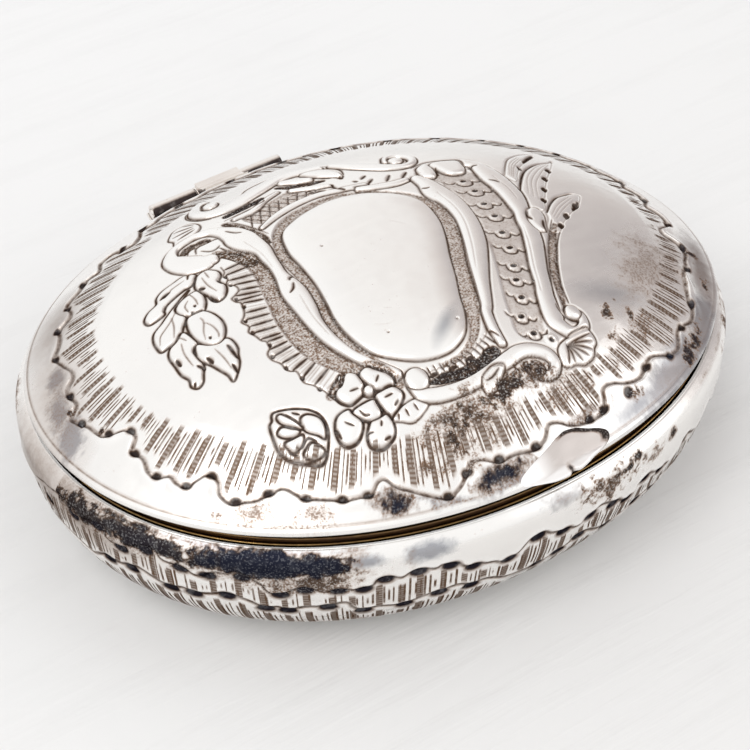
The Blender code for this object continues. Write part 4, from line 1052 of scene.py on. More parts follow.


# Each cloud's middle x and y, half length, half width, stain, speckle, turn and haze_and_reflection.
# Most are the lid's tarnish. The soft, barely speckled blue ones along the right and front right
# margin, and the one with no stain over the dent right of the panel, are painted reflection of dark
# surroundings; the broad soft ones along the left margin film it blue and darken it along the rim.
LID_TARNISH_AND_REFLECTIONS = [(-6.5, -27.4, 8, 2.8, 0.62, 0.7, 4, 0.0), (-9.6, -28.2, 3.4, 1.8, 0.95, 0.7, 30, 0.0),
    (-3, -26.6, 5, 1.4, 0.9, 0.8, 8, 0.0), (1.5, -26.6, 2.8, 1.2, 0.6, 0.8, 10, 0.2),
    (4, -29, 7, 1.6, 0.35, 1.0, 10, 0.1), (-14.5, -28.6, 1.6, 0.9, 0.6, 0.8, 0, 0.1),
    (-19.2, -29.4, 2.6, 1.1, 0.9, 0.5, -30, 1.0), (-16, -30.9, 2, 0.5, 0.35, 0.8, -30, 1.0),
    (-13.5, -32.3, 3.6, 0.5, 0.3, 0.6, -18, 1.0), (-7.5, -32.6, 4.8, 0.9, 0.95, 0.5, -3, 0.9),
    (-5, -33.6, 5, 0.5, 0.3, 0.6, -3, 1.0), (4.4, -31.4, 3, 0.6, 0.5, 0.7, 4, 0.6),
    (-31.6, -21.5, 3.4, 1.1, 0.5, 0.5, -42, 0.0), (-26.8, -25.4, 3.2, 0.9, 0.45, 0.6, -38, 0.0),
    (-29, -24.6, 3.4, 0.8, 0.35, 0.6, -40, 0.0), (-34.6, -18.6, 1.8, 0.5, 0.5, 0.7, -48, 0.0),
    (-36.8, 9.6, 2.0, 1.3, 0.1, 0.25, 64, 1.6), (-38.9, 5.4, 3.4, 1.5, 0.1, 0.3, 64, 1.3),
    (-39.9, 1.2, 2.8, 1.5, 0.12, 0.3, 64, 1.6), (-38, 7, 14, 4.5, 0.34, 0.05, 64, 0.15),
    (-32, 18, 9, 4, 0.3, 0.05, 45, 0.25), (-38.3, 3.6, 0.5, 0.6, 0.9, 0.8, 60, 0.0),
    (-38.6, 0.9, 0.4, 0.5, 0.9, 0.8, 0, 0.0), (-37.6, -1.6, 0.4, 0.4, 0.9, 0.8, 0, 0.0),
    (15, -22.7, 1.4, 0.7, 0.85, 0.9, 60, 0.0), (13.6, -25.5, 1.3, 0.8, 0.85, 0.9, 20, 0.0),
    (18, -23.5, 0.8, 0.4, 0.7, 0.8, 60, 0.0), (17.2, -21.6, 0.3, 0.3, 0.95, 0.3, 0, 0.0),
    (18.5, -25, 2.6, 1.3, 0.4, 0.9, 25, 0.2), (12.2, -31.2, 1.6, 0.7, 0.85, 0.9, 10, 0.0),
    (24.5, -27.2, 3.6, 0.7, 0.78, 0.9, 36, 0.1), (18.5, -30.3, 9, 1.8, 0.2, 0.2, 23, 1.6),
    (27.6, -25.4, 7, 1.6, 0.2, 0.2, 43, 1.5), (25, -18, 9, 4, 0.36, 0.5, 35, 0.1),
    (34.6, -15.7, 0.9, 0.6, 0.8, 0.9, 0, 0.0), (34, -18, 9, 2.2, 0.34, 0.15, 57, 0.8),
    (12, -32.2, 6, 1.2, 0.1, 0.2, 14, 1.0), (32.6, -20.2, 1.1, 0.6, 0.8, 0.9, 50, 0.0),
    (17.4, -20.6, 5.2, 2.0, 0.0, 0.08, -20, 0.55), (20, 26, 4, 1, 0.4, 0.8, -25, 0.3),
    (-4, 31, 5, 0.8, 0.35, 0.8, 0, 0.4), (38.6, 4, 0.9, 3, 0.35, 0.8, 0, 0.5),
    (-12.8, -29.6, 1.6, 0.8, 0.6, 0.9, 0, 0.0)]
# Each dent's middle x and y, length, width, turn and depth, below 0 where it stands up
LID_DENTS = [(30, -19.6, 4.5, 1.2, 75, -0.28), (31.4, -20.6, 5, 1.4, 70, 0.22), (26, -26, 4, 2.2, 40, 0.12),
    (-27, -14, 9, 5, 30, 0.05), (16, -20, 9, 6, 10, 0.12), (15.6, -23.4, 3, 3, 0, -0.14)]


def lid_tarnish_and_reflections(sheet):
    """Old tarnish with some painted reflection of dark surroundings, and small dents, where they lie on the
    worn lid.
    """
    for cloud in LID_TARNISH_AND_REFLECTIONS:
        sheet.tarnish(*cloud)
    for x, y, length, width, turn, depth in LID_DENTS:
        place_in, along, across = sheet.turned(x, y, turn, length)
        sheet.height[place_in] -= depth * np.exp(-((2 * along / length) ** 2) - (2 * across / width) ** 2)


def chase_lid():
    """The lid's sheet over its plan, chased from the border inwards and then aged, with painted
    reflection of dark surroundings among its tarnish.
    """
    sheet = Sheet((-42.7, 42.7), (-35.4, 35.4), 11)
    lid_border(sheet)
    feathers(sheet)
    top_scrolls(sheet)
    leaf_sprig(sheet)
    left_scroll(sheet)
    right_bars(sheet)
    reserve(sheet)
    foot_scroll(sheet)
    flower(sheet)
    lid_tarnish_and_reflections(sheet)
    sheet.finish()
    return sheet


# Chasing on the base's wall, by u round it and v down it

# The two wave lines and the punches along them
WALL_WAVE = [(-60.3, 2.6), (-59.6, 2.3), (-58.6, 2.7), (-57.8, 3.8), (-56.3, 3.2), (-54.8, 2.7), (-53.9, 2.3),
    (-53.3, 2.5), (-52.9, 3.3), (-52.2, 3.9), (-50.6, 4.2), (-49.7, 3.6), (-48, 2.8), (-46.6, 2.3),
    (-45.9, 2.7), (-45.3, 3.5), (-43.3, 3.9), (-41, 4.7), (-40.3, 4.1), (-39.3, 3.5), (-38, 3.5), (-37.2, 3),
    (-35.6, 3.9), (-34.6, 4.6), (-34.3, 5.4), (-33.6, 6), (-32.8, 6), (-31.6, 5.3), (-30.6, 4.8), (-29.4, 5.2),
    (-28, 5.7), (-26.8, 5.5), (-25, 5.7), (-24.2, 5.6), (-23.2, 5.2), (-22.8, 4.6), (-21.9, 4.3), (-20.3, 4.7),
    (-19.5, 4.3), (-18.4, 4), (-16.6, 4.4), (-15.8, 4.1), (-14.1, 4.7), (-13.2, 5.4), (-12.3, 5.6), (-10, 6.1),
    (-9.2, 6.6), (-8.1, 6.5), (-7, 6.1), (-6, 5), (-5.3, 4.6), (-4, 4.5), (-3, 5.2), (-1.1, 5.9), (0.7, 6.4),
    (1.6, 6.1), (3.3, 5.2), (4.2, 5.1), (5.2, 5.5), (7, 6.5), (8.6, 7.1), (9.6, 6.7), (10.4, 5.6), (12.5, 6),
    (14.7, 6.7), (16, 7), (19, 5.7), (19.6, 5.2), (21, 6), (22.7, 6.9)]
WALL_PUNCHES = [(-57.8, 3.8), (-53.8, 2.8), (-50.6, 4.2), (-47.3, 2.9), (-43.3, 3.9), (-40.3, 4.1),
    (-36.6, 3.6), (-32.8, 6), (-30.2, 5.2), (-26.8, 5.5), (-24.2, 5.6), (-21.9, 4.4), (-18.4, 4.2),
    (-14.9, 4.4), (-12.3, 5.6), (-8.1, 6.5), (-4.6, 4.8), (-1.1, 5.9), (2.5, 5.7), (6.1, 6.2), (8.6, 7.1),
    (11.4, 5.7), (14.7, 6.7), (19.4, 5.6)]
LOW_WAVE = [(-60.3, 8), (-58, 8.4), (-56, 8.8), (-54.5, 7.8), (-53, 7.4), (-51, 7.1), (-49.7, 6.9),
    (-48.6, 6.3), (-46, 7.6), (-45, 7.9), (-43.5, 7.3), (-42.3, 7.8), (-40.5, 7.3), (-38.5, 6.9), (-36.5, 7.4),
    (-34.6, 8.8), (-33.3, 8.4), (-32.3, 9.1), (-30.4, 8.3), (-28, 8.4), (-26.8, 7.8), (-25.8, 8), (-25.4, 9),
    (-24.3, 10), (-22.8, 9.5), (-21, 9.9), (-19.8, 10), (-18.4, 9.3), (-17, 8.8), (-16, 8.9), (-14.5, 8.4),
    (-13.3, 8.6), (-12.3, 9.4), (-11, 9), (-9.6, 9.5), (-8, 10.6), (-5.8, 10.9), (-3.7, 10.8), (-1, 10),
    (1.5, 8.6), (3, 8.7), (4.5, 9.8), (6.5, 10.4), (9, 10.3), (11, 9.4), (13, 9.2), (14.6, 10), (17, 10.2),
    (19.5, 9), (22.7, 9.6)]
LOW_PUNCHES = [(-53, 7.4), (-49.7, 6.9), (-45, 7.9), (-42.3, 7.8), (-38.5, 6.9), (-34.6, 8.8), (-32.3, 9.1),
    (-28, 8.4), (-24.3, 10), (-19.8, 10), (-16, 8.9), (-12.3, 9.4), (-3.7, 10.8), (-1, 10), (1.5, 8.6),
    (6.5, 10.5), (11, 9.4), (14.6, 10.1), (19.5, 9)]
# The run over which the waves ease back, how low the lower flutes go, and their reach's share
EASE_RUN, FLUTES_LOW, WALL_REACH = 14.0, 14.2, 0.8
# The lips' heights, how far over their wave they lie and how wide, the waves' half width and
# depth, and how deep the flutes between them are sunk
WALL_LIPS, WALL_LIP_OUT, WALL_LIP_WIDTH = (0.1, 0.09), 0.45, 0.4
WALL_WAVE_WIDTH, WALL_WAVE_DEPTH, WALL_SINK = 0.3, 0.14, 0.12
# The traced stretch's length, and how long each of its two copies is, as a share of it
WALL_TRACED = 83.0
COPY_SHARE = (RIM_LENGTH - WALL_TRACED) / 2 / WALL_TRACED


def all_round(points):
    """The traced stretch of the wall, then the same rhythm twice more, a little closer and the
    first time mirrored, to go round the sides that are out of sight."""
    points = np.asarray(points, float)
    run = points[:, 0] - WALL_START
    mirrored, again = points[::-1].copy(), points.copy()
    mirrored[:, 0] = WALL_START + WALL_TRACED + (WALL_TRACED - run[::-1]) * COPY_SHARE
    again[:, 0] = WALL_START + WALL_TRACED + (WALL_TRACED + run) * COPY_SHARE
    return np.vstack([points, mirrored[1:], again[1:]])


def chase_wall():
    """The wall's sheet: two wave lines, each with a raised lip above it, flutes between and below
    them, and punches along them. The waves ease back to their start where the sheet joins up."""
    sheet = Sheet((WALL_START - 2, WALL_START + RIM_LENGTH + 2), (-0.5, PROFILE_LENGTH + 0.5), 23)
    u, v = np.meshgrid(sheet.x, sheet.y)
    lines = []
    for points in (WALL_WAVE, LOW_WAVE):
        path = all_round(points)
        ease = np.clip((WALL_START + RIM_LENGTH - path[:, 0]) / EASE_RUN, 0, 1)
        path[:, 1] = path[0, 1] * (1 - ease) + path[:, 1] * ease
        path = np.vstack([path, [[WALL_START + RIM_LENGTH + 4, path[0, 1]]]])
        lines.append(catmull(np.vstack([[[WALL_START - 4, path[0, 1]]], path]), steps=4))
    first, second = (np.interp(u, line[:, 0], line[:, 1]) for line in lines)
    sheet.reach = WALL_REACH * np.maximum(np.minimum(v - first - 0.35, second - v + 0.3),
                                          np.minimum(v - second - 0.6, (FLUTES_LOW - v) * 1.2))
    for line, edge, lip in zip(lines, (first, second), WALL_LIPS):
        sheet.height += lip * np.exp(-(((v - edge + WALL_LIP_OUT) / WALL_LIP_WIDTH) ** 2))
        place_in, gap, _ = sheet.nearest(line, 1)
        groove = np.exp(-((gap / WALL_WAVE_WIDTH) ** 4))
        sheet.sink(place_in, groove, WALL_WAVE_DEPTH, 0.5 + 0.3 * sheet.fleck[place_in])
    sheet.height -= WALL_SINK * np.clip((v - first) / 0.5, 0, 1) * np.clip((second - v) / 0.5, 0, 1)
    for rows in (WALL_PUNCHES, LOW_PUNCHES):
        for px, py in all_round(rows):
            sheet.punch(px, py + 0.2, 2.9, 2.0, 0, depth=0.05, stain=0.6, haze_and_reflection=0.3)
            sheet.punch(px, py + 0.2, 2.4, 1.5, 0, depth=0.12, stain=1.0, haze_and_reflection=0.6)
    wall_tarnish(sheet)
    sheet.finish()
    return sheet


# Each cloud's middle u and v, half length, half width, stain, speckle and haze
WALL_TARNISH = [(-33.5, 1.8, 8.5, 1.7, 3.0, 0.3, 1.8), (-33, 2.1, 11, 2.7, 0.75, 0.45, 0.0),
    (-30, 3.8, 6.5, 1.6, 0.7, 0.6, 0.0), (-46.5, 1.9, 7, 1.5, 2.0, 0.5, 0.5),
    (-49, 1.9, 12, 2.5, 0.6, 0.5, 0.0), (-56, 2, 4, 1.8, 2.0, 0.5, 0.2), (-60, 2.4, 3.5, 1.5, 0.9, 0.6, 0.0),
    (-49, 0.4, 8, 0.5, 1.0, 0.5, 0.0), (-36, 0.35, 12, 0.4, 0.1, 0.1, 1.5), (-29, 4.9, 6, 1, 0.6, 0.7, 0.0),
    (-57, 2.5, 14, 5, 0.56, 0.08, 0.0), (178, 2.5, 12, 5, 0.42, 0.08, 0.1),
    (-24, 1.7, 2.6, 0.9, 0.1, 0.25, 1.4), (-17.3, 1.7, 3, 1.2, 0.1, 0.25, 1.3),
    (-1.5, 1.2, 3, 1, 0.2, 0.5, 0.8), (6.5, 2.4, 5.5, 1.9, 0.65, 1.3, 0.0), (8.5, 2, 2.6, 1.1, 1.0, 1.2, 0.0),
    (15.7, 2.3, 0.8, 0.7, 0.9, 0.6, 0.0), (60, 0.8, 40, 0.3, 0.4, 0.5, 0.2), (38, 2, 5, 1.2, 0.6, 0.8, 0.2),
    (62, 1.6, 6, 1, 0.7, 0.8, 0.4), (84, 2.6, 4, 1.3, 0.6, 0.9, 0.0), (101, 1.5, 7, 1.1, 0.7, 0.8, 0.3),
    (128, 2.2, 5, 1.2, 0.6, 0.9, 0.2), (150, 1.5, 6, 1, 0.7, 0.8, 0.5), (165, 2, 4, 1.1, 0.5, 0.7, 0.0),
    (20, 12.5, 6, 1.6, 0.35, 0.9, 0.1), (-30, 14, 9, 2, 0.35, 0.9, 0.1), (90, 13, 9, 2, 0.35, 0.9, 0.1),
    (140, 15, 8, 2.5, 0.35, 0.9, 0.1)]


def wall_tarnish(sheet):
    """The base's tarnish: a blue-black band with brown edges along its front left, and spots."""
    for u, v, half_u, half_v, stain, speckle, haze_and_reflection in WALL_TARNISH:
        sheet.tarnish(u, v, half_u, half_v, stain, speckle, haze_and_reflection=haze_and_reflection)


def capped(loops, flip=False):
    """Points and quads of a closed shell: loops of one even length, joined in turn, with a middle
    point at each end that takes the loop's points two by two."""
    count = len(loops[0])
    points = np.concatenate(list(loops) + [loops[0].mean(0)[None, :], loops[-1].mean(0)[None, :]])
    faces = [grid_faces(len(loops), count, False, True)]
    even = np.arange(0, count, 2)
    after, ahead = (even + 1) % count, (even + 2) % count
    last = (len(loops) - 1) * count
    first_hub, last_hub = (np.full(len(even), len(points) - k) for k in (2, 1))
    faces.append(np.stack([first_hub, ahead, after, even], 1))
    faces.append(np.stack([last + even, last + after, last + ahead, last_hub], 1))
    faces = np.vstack(faces)
    return points, faces[:, ::-1] if flip else faces


# How many points the inside and the bezel have round
RING_COLUMNS = 700


def base_inside(material):
    """The bowl's hollow: its inner wall and floor, and a back in the sheet."""
    u = round_rim(RING_COLUMNS)
    loops = wall_back(u, [(v, BOWL_WALL) for v in np.linspace(1.0, 23.0, 45)])
    rim_x, rim_y, rim_z = loops[-1].T
    shares = (0.93, 0.86, 0.78, 0.68, 0.56, 0.42, 0.28, 0.14, 0.004)
    for share in shares:
        level = BOWL_WALL + (rim_z - BOWL_WALL) * max(0.0, (share - 0.8) / 0.2) ** 2
        loops.append(level_loop(rim_x, rim_y, level, share))
    behind = wall_back(u, [(v, BOWL_WALL - 0.15) for v in (1.1, 4.0, 8.0, 13.0, 18.0, 22.0)])
    behind += [level_loop(rim_x, rim_y, BOWL_WALL - 0.2, share) for share in shares]
    points, faces = capped(loops[::-1] + behind, flip=True)
    return make_piece("bowl_inside", points, faces, material, "box", "base_bowl")


def bezel_loop(out, level):
    """A loop beside the bezel's outer face, a distance out from it, at a level."""
    return level_loop(*rim_oval(RING_COLUMNS, BEZEL_HALVES, out), level)


def make_bezel(material):
    """The gilt collar: a straight band with a softly rounded top edge, darkened with painted shade:
    most on its outer face, which stands in the shadowed gap under the lid, a little less on its crown
    and least on its inner face.
    """
    outer = [(0.0, level) for level in np.linspace(BEZEL_LOW, BEZEL_TOP - 0.14, 14)]
    crown = [(0.02, BEZEL_TOP - 0.08), (0.07, BEZEL_TOP - 0.03), (0.16, BEZEL_TOP),
             (0.42, BEZEL_TOP), (0.53, BEZEL_TOP - 0.03), (0.58, BEZEL_TOP - 0.09)]
    inner = [(BEZEL_WALL, level) for level in np.linspace(BEZEL_TOP - 0.16, BEZEL_LOW, 10)]
    loops = [bezel_loop(-inset, level) for inset, level in outer + crown + inner]
    faces = grid_faces(len(loops), RING_COLUMNS, True, True)
    # Painted shade by face, carried by the stain mark: the gap's shadow on the outer face and crown, less on
    # the inner face.
    gap_shade = np.repeat([1.0] * len(outer) + [0.86] * len(crown) + [0.35] * len(inner), RING_COLUMNS)
    return make_piece("gilt_bezel", np.concatenate(loops), faces, material, "box", "bezel",
                      {"stain": gap_shade})


# How far outside the bezel the seam's middle lies, its two half sizes, and its points round
SEAM_OUT, SEAM_HALVES, SEAM_COLUMNS = 0.22, (0.12, 0.1), 10


def make_seam(material):
    """The thin bead of gilding that fills the seam between the bezel and the rim's inner edge."""
    loops = [bezel_loop(SEAM_OUT + SEAM_HALVES[0] * math.cos(angle),
                        MOUTH_HEIGHT - 0.04 - SEAM_HALVES[1] * math.sin(angle))
             for angle in 2 * math.pi * np.arange(SEAM_COLUMNS) / SEAM_COLUMNS]
    faces = grid_faces(len(loops), RING_COLUMNS, True, True, flip=True)
    points = np.concatenate(loops)
    return make_piece("gilt_seam", points, faces, material, "box", "bezel",
                      {"stain": np.full(len(points), 0.5)})


# How many points a knuckle is round, and the radius of its lips
TUBE_COLUMNS, TUBE_LIP = 72, 0.09


def make_tube(name, start, end, material, body, replaced, tarnish):
    """A knuckle: a tube along X with rounded lips and faint file marks, closed by its bore, and
    darkened with painted shade on the side towards the box, the shadow between it and the lid's
    edge; the tarnish argument sets how dark that painted shade is."""
    around, lip = 2 * math.pi * np.arange(TUBE_COLUMNS) / TUBE_COLUMNS, TUBE_LIP
    outer = [(start + lip * 0.3, -lip * 0.3), (start + lip, 0.0)]
    outer += [(x, -0.012 * math.sin(9 * x)) for x in np.linspace(start + 0.3, end - 0.3, 18)]
    outer += [(end - lip, 0.0), (end - lip * 0.3, -lip * 0.3)]
    section = [(start, -lip)] + outer + [(end, -lip)]
    section = [(x, KNUCKLE_RADIUS + out) for x, out in section] + [(end, KNUCKLE_BORE), (start, KNUCKLE_BORE)]
    loops = [np.stack([np.full_like(around, x), HINGE[1] + radius * np.cos(around),
                       HINGE[2] + radius * np.sin(around)], -1) for x, radius in section]
    points = np.concatenate(loops)
    faces = grid_faces(len(loops), len(around), True, True)
    # Painted shade on the knuckle's side towards the box, carried by the stain mark.
    stain = tarnish * np.clip((HINGE[1] - points[:, 1]) / KNUCKLE_RADIUS / 0.5 - 0.2, 0, 1)
    return make_piece(name, points, faces, material, body, replaced, {"stain": stain})


THUMB_OUTLINE = [(-5.9, -33.7), (-4.6, -33.3), (-2.9, -32.95), (-1.2, -32.6), (0.2, -32.25), (1.4, -32.05),
                 (2.7, -32.2), (4.1, -32.7), (5.4, -33.05), (6.2, -33.5), (5.9, -34.1), (4.6, -34.6),
                 (3.2, -34.95), (1.9, -35.35), (0.7, -35.6), (-0.2, -35.4), (-1, -35.7), (-2.6, -35.55),
                 (-3.9, -35.15), (-5.3, -34.65), (-6.1, -34.2)]
# The point that the plate is drawn in to, and the y from which solder covers its back edge
THUMB_MIDDLE, THUMB_SOLDER = np.array([0.2, -34.0]), -33.35
# How far the plate's loops are drawn in, under it and over it, and how high the upper ones lie
THUMB_UNDER = (0.2, 0.45, 0.7, 0.9, 0.98)
THUMB_TOP = [(1.0, 0.2), (1.0, 0.27), (0.988, 0.36), (0.965, 0.42), (0.93, 0.45), (0.86, 0.47), (0.76, 0.48),
             (0.64, 0.48), (0.5, 0.48), (0.35, 0.48), (0.18, 0.48)]


def thumb_edge(x):
    """The front edge of the lid's oval at an x, from the superellipse."""
    return -HALF_WIDTH * (1 - np.abs(x / HALF_LENGTH) ** OVAL_POWER) ** (1 / OVAL_POWER)


def make_thumbpiece(material):
    """The shield-shaped plate: its outline drawn in by shares to its middle, on the lid's skin
    where it lies over the lid and falling past the lid's edge to a thin, rounded lip."""
    outline = catmull(THUMB_OUTLINE, closed=True, steps=16)[:-1]

    def loop(share, lift):
        x, y = (THUMB_MIDDLE + (outline - THUMB_MIDDLE) * share).T
        edge = thumb_edge(x)
        height = dome(x, np.maximum(y, edge))[0]
        past = np.maximum(edge - y, 0)
        inner = np.clip((y - edge) / 2.4, 0, 1)
        ripple = 0.05 * np.sin(1.7 * x + 0.6) * np.cos(2.1 * y) * np.clip(3 - 3 * share, 0, 1)
        lift = lift * (1 - 0.4 * inner**2) * (1 - 0.8 * np.clip((-x - 0.5) / 4.5, 0, 1)) - 0.04
        return np.stack([x, y, height + lift - 0.25 * past + ripple], -1)

    rows = [(share, 0.02) for share in THUMB_UNDER] + THUMB_TOP
    points, faces = capped([loop(*row) for row in rows], flip=True)
    shares = np.repeat([row[0] for row in rows], len(outline))
    shares = np.concatenate([shares, [0.0, 0.0]])
    x, y = points[:, 0], points[:, 1]
    solder = np.clip((y - THUMB_SOLDER + 0.2 * x) / 0.5, 0, 1) * (shares > 0.85)
    solder = solder * np.clip((x + 0.5) / 1.5, 0, 1)
    notch = np.exp(-((x + 0.35) / 0.35) ** 2 - ((y + 35.2) / 0.5) ** 2)
    # Painted highlight: the plate is lighter along its lip past the lid's edge, carried by the worn mark; it is
    # also lighter towards its left side.
    bright = np.maximum(np.clip((thumb_edge(x) - y + 0.1) / 0.4, 0, 1), np.clip((-x - 1.6) / 2.2, 0, 1))
    marks = {"stain": np.maximum(0.9 * solder, 0.9 * notch), "grain": 0.5 * solder + 0.25, "worn": bright}
    return make_piece("thumb_plate", hang_ajar(points), faces, material, "lid", "thumbpiece", marks)


# Materials

class Tree:
    """The nodes of a material or world: called with a kind, it adds one, and its methods add the
    sums, blends and patterns that repeat."""

    def __init__(self, tree):
        self.tree = tree
        tree.nodes.clear()

    def feed(self, socket, value):
        """Links another node's output to a socket, or sets the socket's own value."""
        if isinstance(value, bpy.types.NodeSocket):
            self.tree.links.new(value, socket)
        else:
            socket.default_value = value

    def __call__(self, kind, inputs=(), **settings):
        made = self.tree.nodes.new("ShaderNode" + kind)
        for key, value in settings.items():
            setattr(made, key, value)
        for key, value in dict(inputs).items():
            self.feed(made.inputs[key], value)
        return made

    def maths(self, operation, first, second=0.0, clamp=False):
        """One sum of two values, the second left out where it takes only one."""
        return self("Math", {0: first, 1: second}, operation=operation, use_clamp=clamp).outputs[0]

    def times(self, first, second, clamp=False):
        return self.maths("MULTIPLY", first, second, clamp)

    def plus(self, first, second, clamp=False):
        return self.maths("ADD", first, second, clamp)

    def less(self, first, second):
        return self.maths("SUBTRACT", first, second)

    def over(self, first, second, clamp=False):
        return self.maths("DIVIDE", first, second, clamp)

    def larger(self, first, second, clamp=False):
        return self.maths("MAXIMUM", first, second, clamp)

    def spread(self, value, low, high):
        """A value's place between two levels, from 0 to 1."""
        return self("MapRange", {"Value": value, "From Min": low, "From Max": high}, clamp=True).outputs[0]

    def spots(self, place, scale, low, high, detail=2.0, stretch=None):
        """Noise on object coordinates, kept between two of its levels and spread from 0 to 1."""
        if stretch:
            place = self("Mapping", {"Vector": place, "Scale": stretch}).outputs[0]
        noise = self("TexNoise", {"Vector": place, "Scale": scale, "Detail": detail, "Roughness": 0.6})
        return self.spread(noise.outputs["Fac"], low, high)

    def blend(self, share, first, second, kind="MIX"):
        """Two colours blended by a share of the second."""
        made = self("Mix", {0: share, 6: first, 7: second}, data_type="RGBA", blend_type=kind)
        return made.outputs[2]

    def bump(self, height, distance, strength):
        return self("Bump", {"Height": height, "Distance": distance, "Strength": strength}).outputs[0]

    def mark(self, name):
        """One of the marks that a piece's points carry."""
        return self("Attribute", attribute_name=name).outputs["Fac"]


def new_material(name, metallic=1.0):
    """A plain shader's material, its tree, its object coordinates, and what sets its sockets."""
    material = bpy.data.materials.new(name)
    material.use_nodes = True
    node = Tree(material.node_tree)
    surface = node("BsdfPrincipled", {"Metallic": metallic})
    node("OutputMaterial", {"Surface": surface.outputs["BSDF"]})

    def dress(**levels):
        for key, value in levels.items():
            node.feed(surface.inputs[key.replace("_", " ").title()], value)

    return material, node, node("TexCoord").outputs["Object"], dress


def rgb(red, green, blue):
    """A solid colour."""
    return (red, green, blue, 1.0)


# How far apart the rungs of a hatched strip are
RUNG_PITCH = 0.42


def flute_lines(node, along, down, reach):
    """Fine chased lines side by side, and a broad hatched one at every few, drawn from how far
    along its band a place is, how far down it and how far inside it. Each line has random numbers
    of its own, which shift it, make it wider or thinner and set where its ragged ends stop."""

    def lines(pitch, half, spread, soft, wander, ragged, seed):
        count = node.over(along, pitch)
        chance = node("TexWhiteNoise", {"W": node.plus(node.maths("FLOOR", count), seed)},
                      noise_dimensions="1D").outputs["Color"]
        chance = node("SeparateColor", {0: chance}).outputs
        part = node.plus(node.maths("FRACT", count), node.times(chance[0], wander))
        side = node.maths("ABSOLUTE", node.less(part, 0.5 + wander / 2))
        width = node.plus(node.times(chance[1], spread), half)
        level = node.over(node.less(width, side), soft, True)
        inside = node.less(reach, node.times(chance[2], ragged))
        return node.times(level, node.over(inside, 0.4, True))

    fine = lines(pitch=0.56, half=0.19, spread=0.14, soft=0.12, wander=0.35, ragged=1.3, seed=0.0)
    broad = lines(pitch=2.4, half=0.14, spread=0.04, soft=0.03, wander=0.25, ragged=0.6, seed=400.0)
    rings = node.maths("SINE", node.times(down, 2 * math.pi / RUNG_PITCH))
    broad = node.times(broad, node.plus(node.times(rings, 0.12), 0.84))
    return fine, broad


def silver_material(name, plain, shade, bright, brown, black, base_roughness, hair=0.1):
    """Sheet silver: a mirror worn by fine rubbing, brighter on its high places, filmed blue or
    tarnished where the chasing's marks say, and broken up by pits, specks and scratches. The same
    marks also carry painted light: a painted highlight along the thumbpiece's lip, painted
    reflection of dark surroundings on parts of the lid, and painted shade on the knuckles' side
    towards the box and along the left of the lid's edge line."""
    material, node, place, dress = new_material(name)
    cloudy = node.spots(place, 90, 0.42, 0.68, 4)
    mottle = node.spots(place, 900, 0.35, 0.7, 5)
    speck = node.spots(place, 4200, 0.36, 0.64, 3)
    pits = node.spots(place, 2300, 0.71, 0.78, 2)
    rubbed = node.spots(place, 60, 0.4, 0.6, 5, stretch=(1.0, 14.0, 14.0))
    hairs = node.spots(place, 260, 0.58, 0.66, 6, stretch=(1.0, 22.0, 3.0))
    beaten = node.spots(place, 330, 0.25, 0.75, 1)
    stain, grain, haze_and_reflection, worn, reach, along, down = (node.mark(mark) for mark in MARKS)
    fine, broad = flute_lines(node, along, down, reach)
    base = node.blend(node.times(cloudy, 0.35), plain, shade)
    # Lighter by the worn mark: on chased sheet that is rubbed high places, on the thumbpiece a painted
    # highlight along its lip.
    base = node.blend(node.times(worn, 1.0, True), base, bright)
    # The blue film of tarnish, which on the lid also carries painted reflection of dark surroundings.
    base = node.blend(node.times(haze_and_reflection, 0.85), base, rgb(0.30, 0.315, 0.35))
    cover = node.spread(stain, 0.05, 0.72)
    smooth = node.times(cover, node.plus(node.times(mottle, 0.3), 0.86), True)
    pitted = node.plus(node.less(speck, 1.0), cover)
    pitted = node.plus(node.over(pitted, 0.8), 0.55, True)
    pitted = node.times(pitted, node.times(cover, 3.0, True))
    pitted = node.larger(pitted, node.times(cover, 0.6))
    dark = node("Mix", {0: grain, 2: smooth, 3: pitted}).outputs[0]
    drawn = node.times(fine, node.plus(node.times(mottle, 0.5), 0.72), True)
    drawn = node.larger(drawn, broad)
    dark = node.larger(dark, drawn)
    dark = node.plus(dark, node.times(pits, 0.4), True)
    deep = node.spread(stain, 0.5, 0.95)
    thin = node.larger(node.times(stain, 1.6, True), node.times(drawn, 1.3), True)
    tone = node.blend(deep, node.blend(thin, rgb(0.42, 0.25, 0.155), brown), black)
    tone = node.blend(node.times(haze_and_reflection, deep), tone, rgb(0.018, 0.02, 0.034))
    rough = node.plus(node.times(dark, 0.3), base_roughness)
    rough = node.plus(rough, node.times(grain, 0.1))
    rough = node.plus(rough, node.times(rubbed, 0.07), True)
    relief = node.plus(node.times(mottle, 0.3), node.times(hairs, hair))
    relief = node.less(relief, node.times(pits, 0.8))
    relief = node.plus(relief, node.times(beaten, 2.5))
    relief = node.less(relief, node.times(node.larger(fine, broad), 1.6))
    relief = node.plus(relief, node.times(grain, node.times(speck, 0.8)))
    dress(base_color=node.blend(dark, base, tone), roughness=rough, normal=node.bump(relief, 0.00002, 0.4),
          specular_tint=node.blend(dark, rgb(1.0, 1.0, 1.0), rgb(0.15, 0.14, 0.14)))
    return material


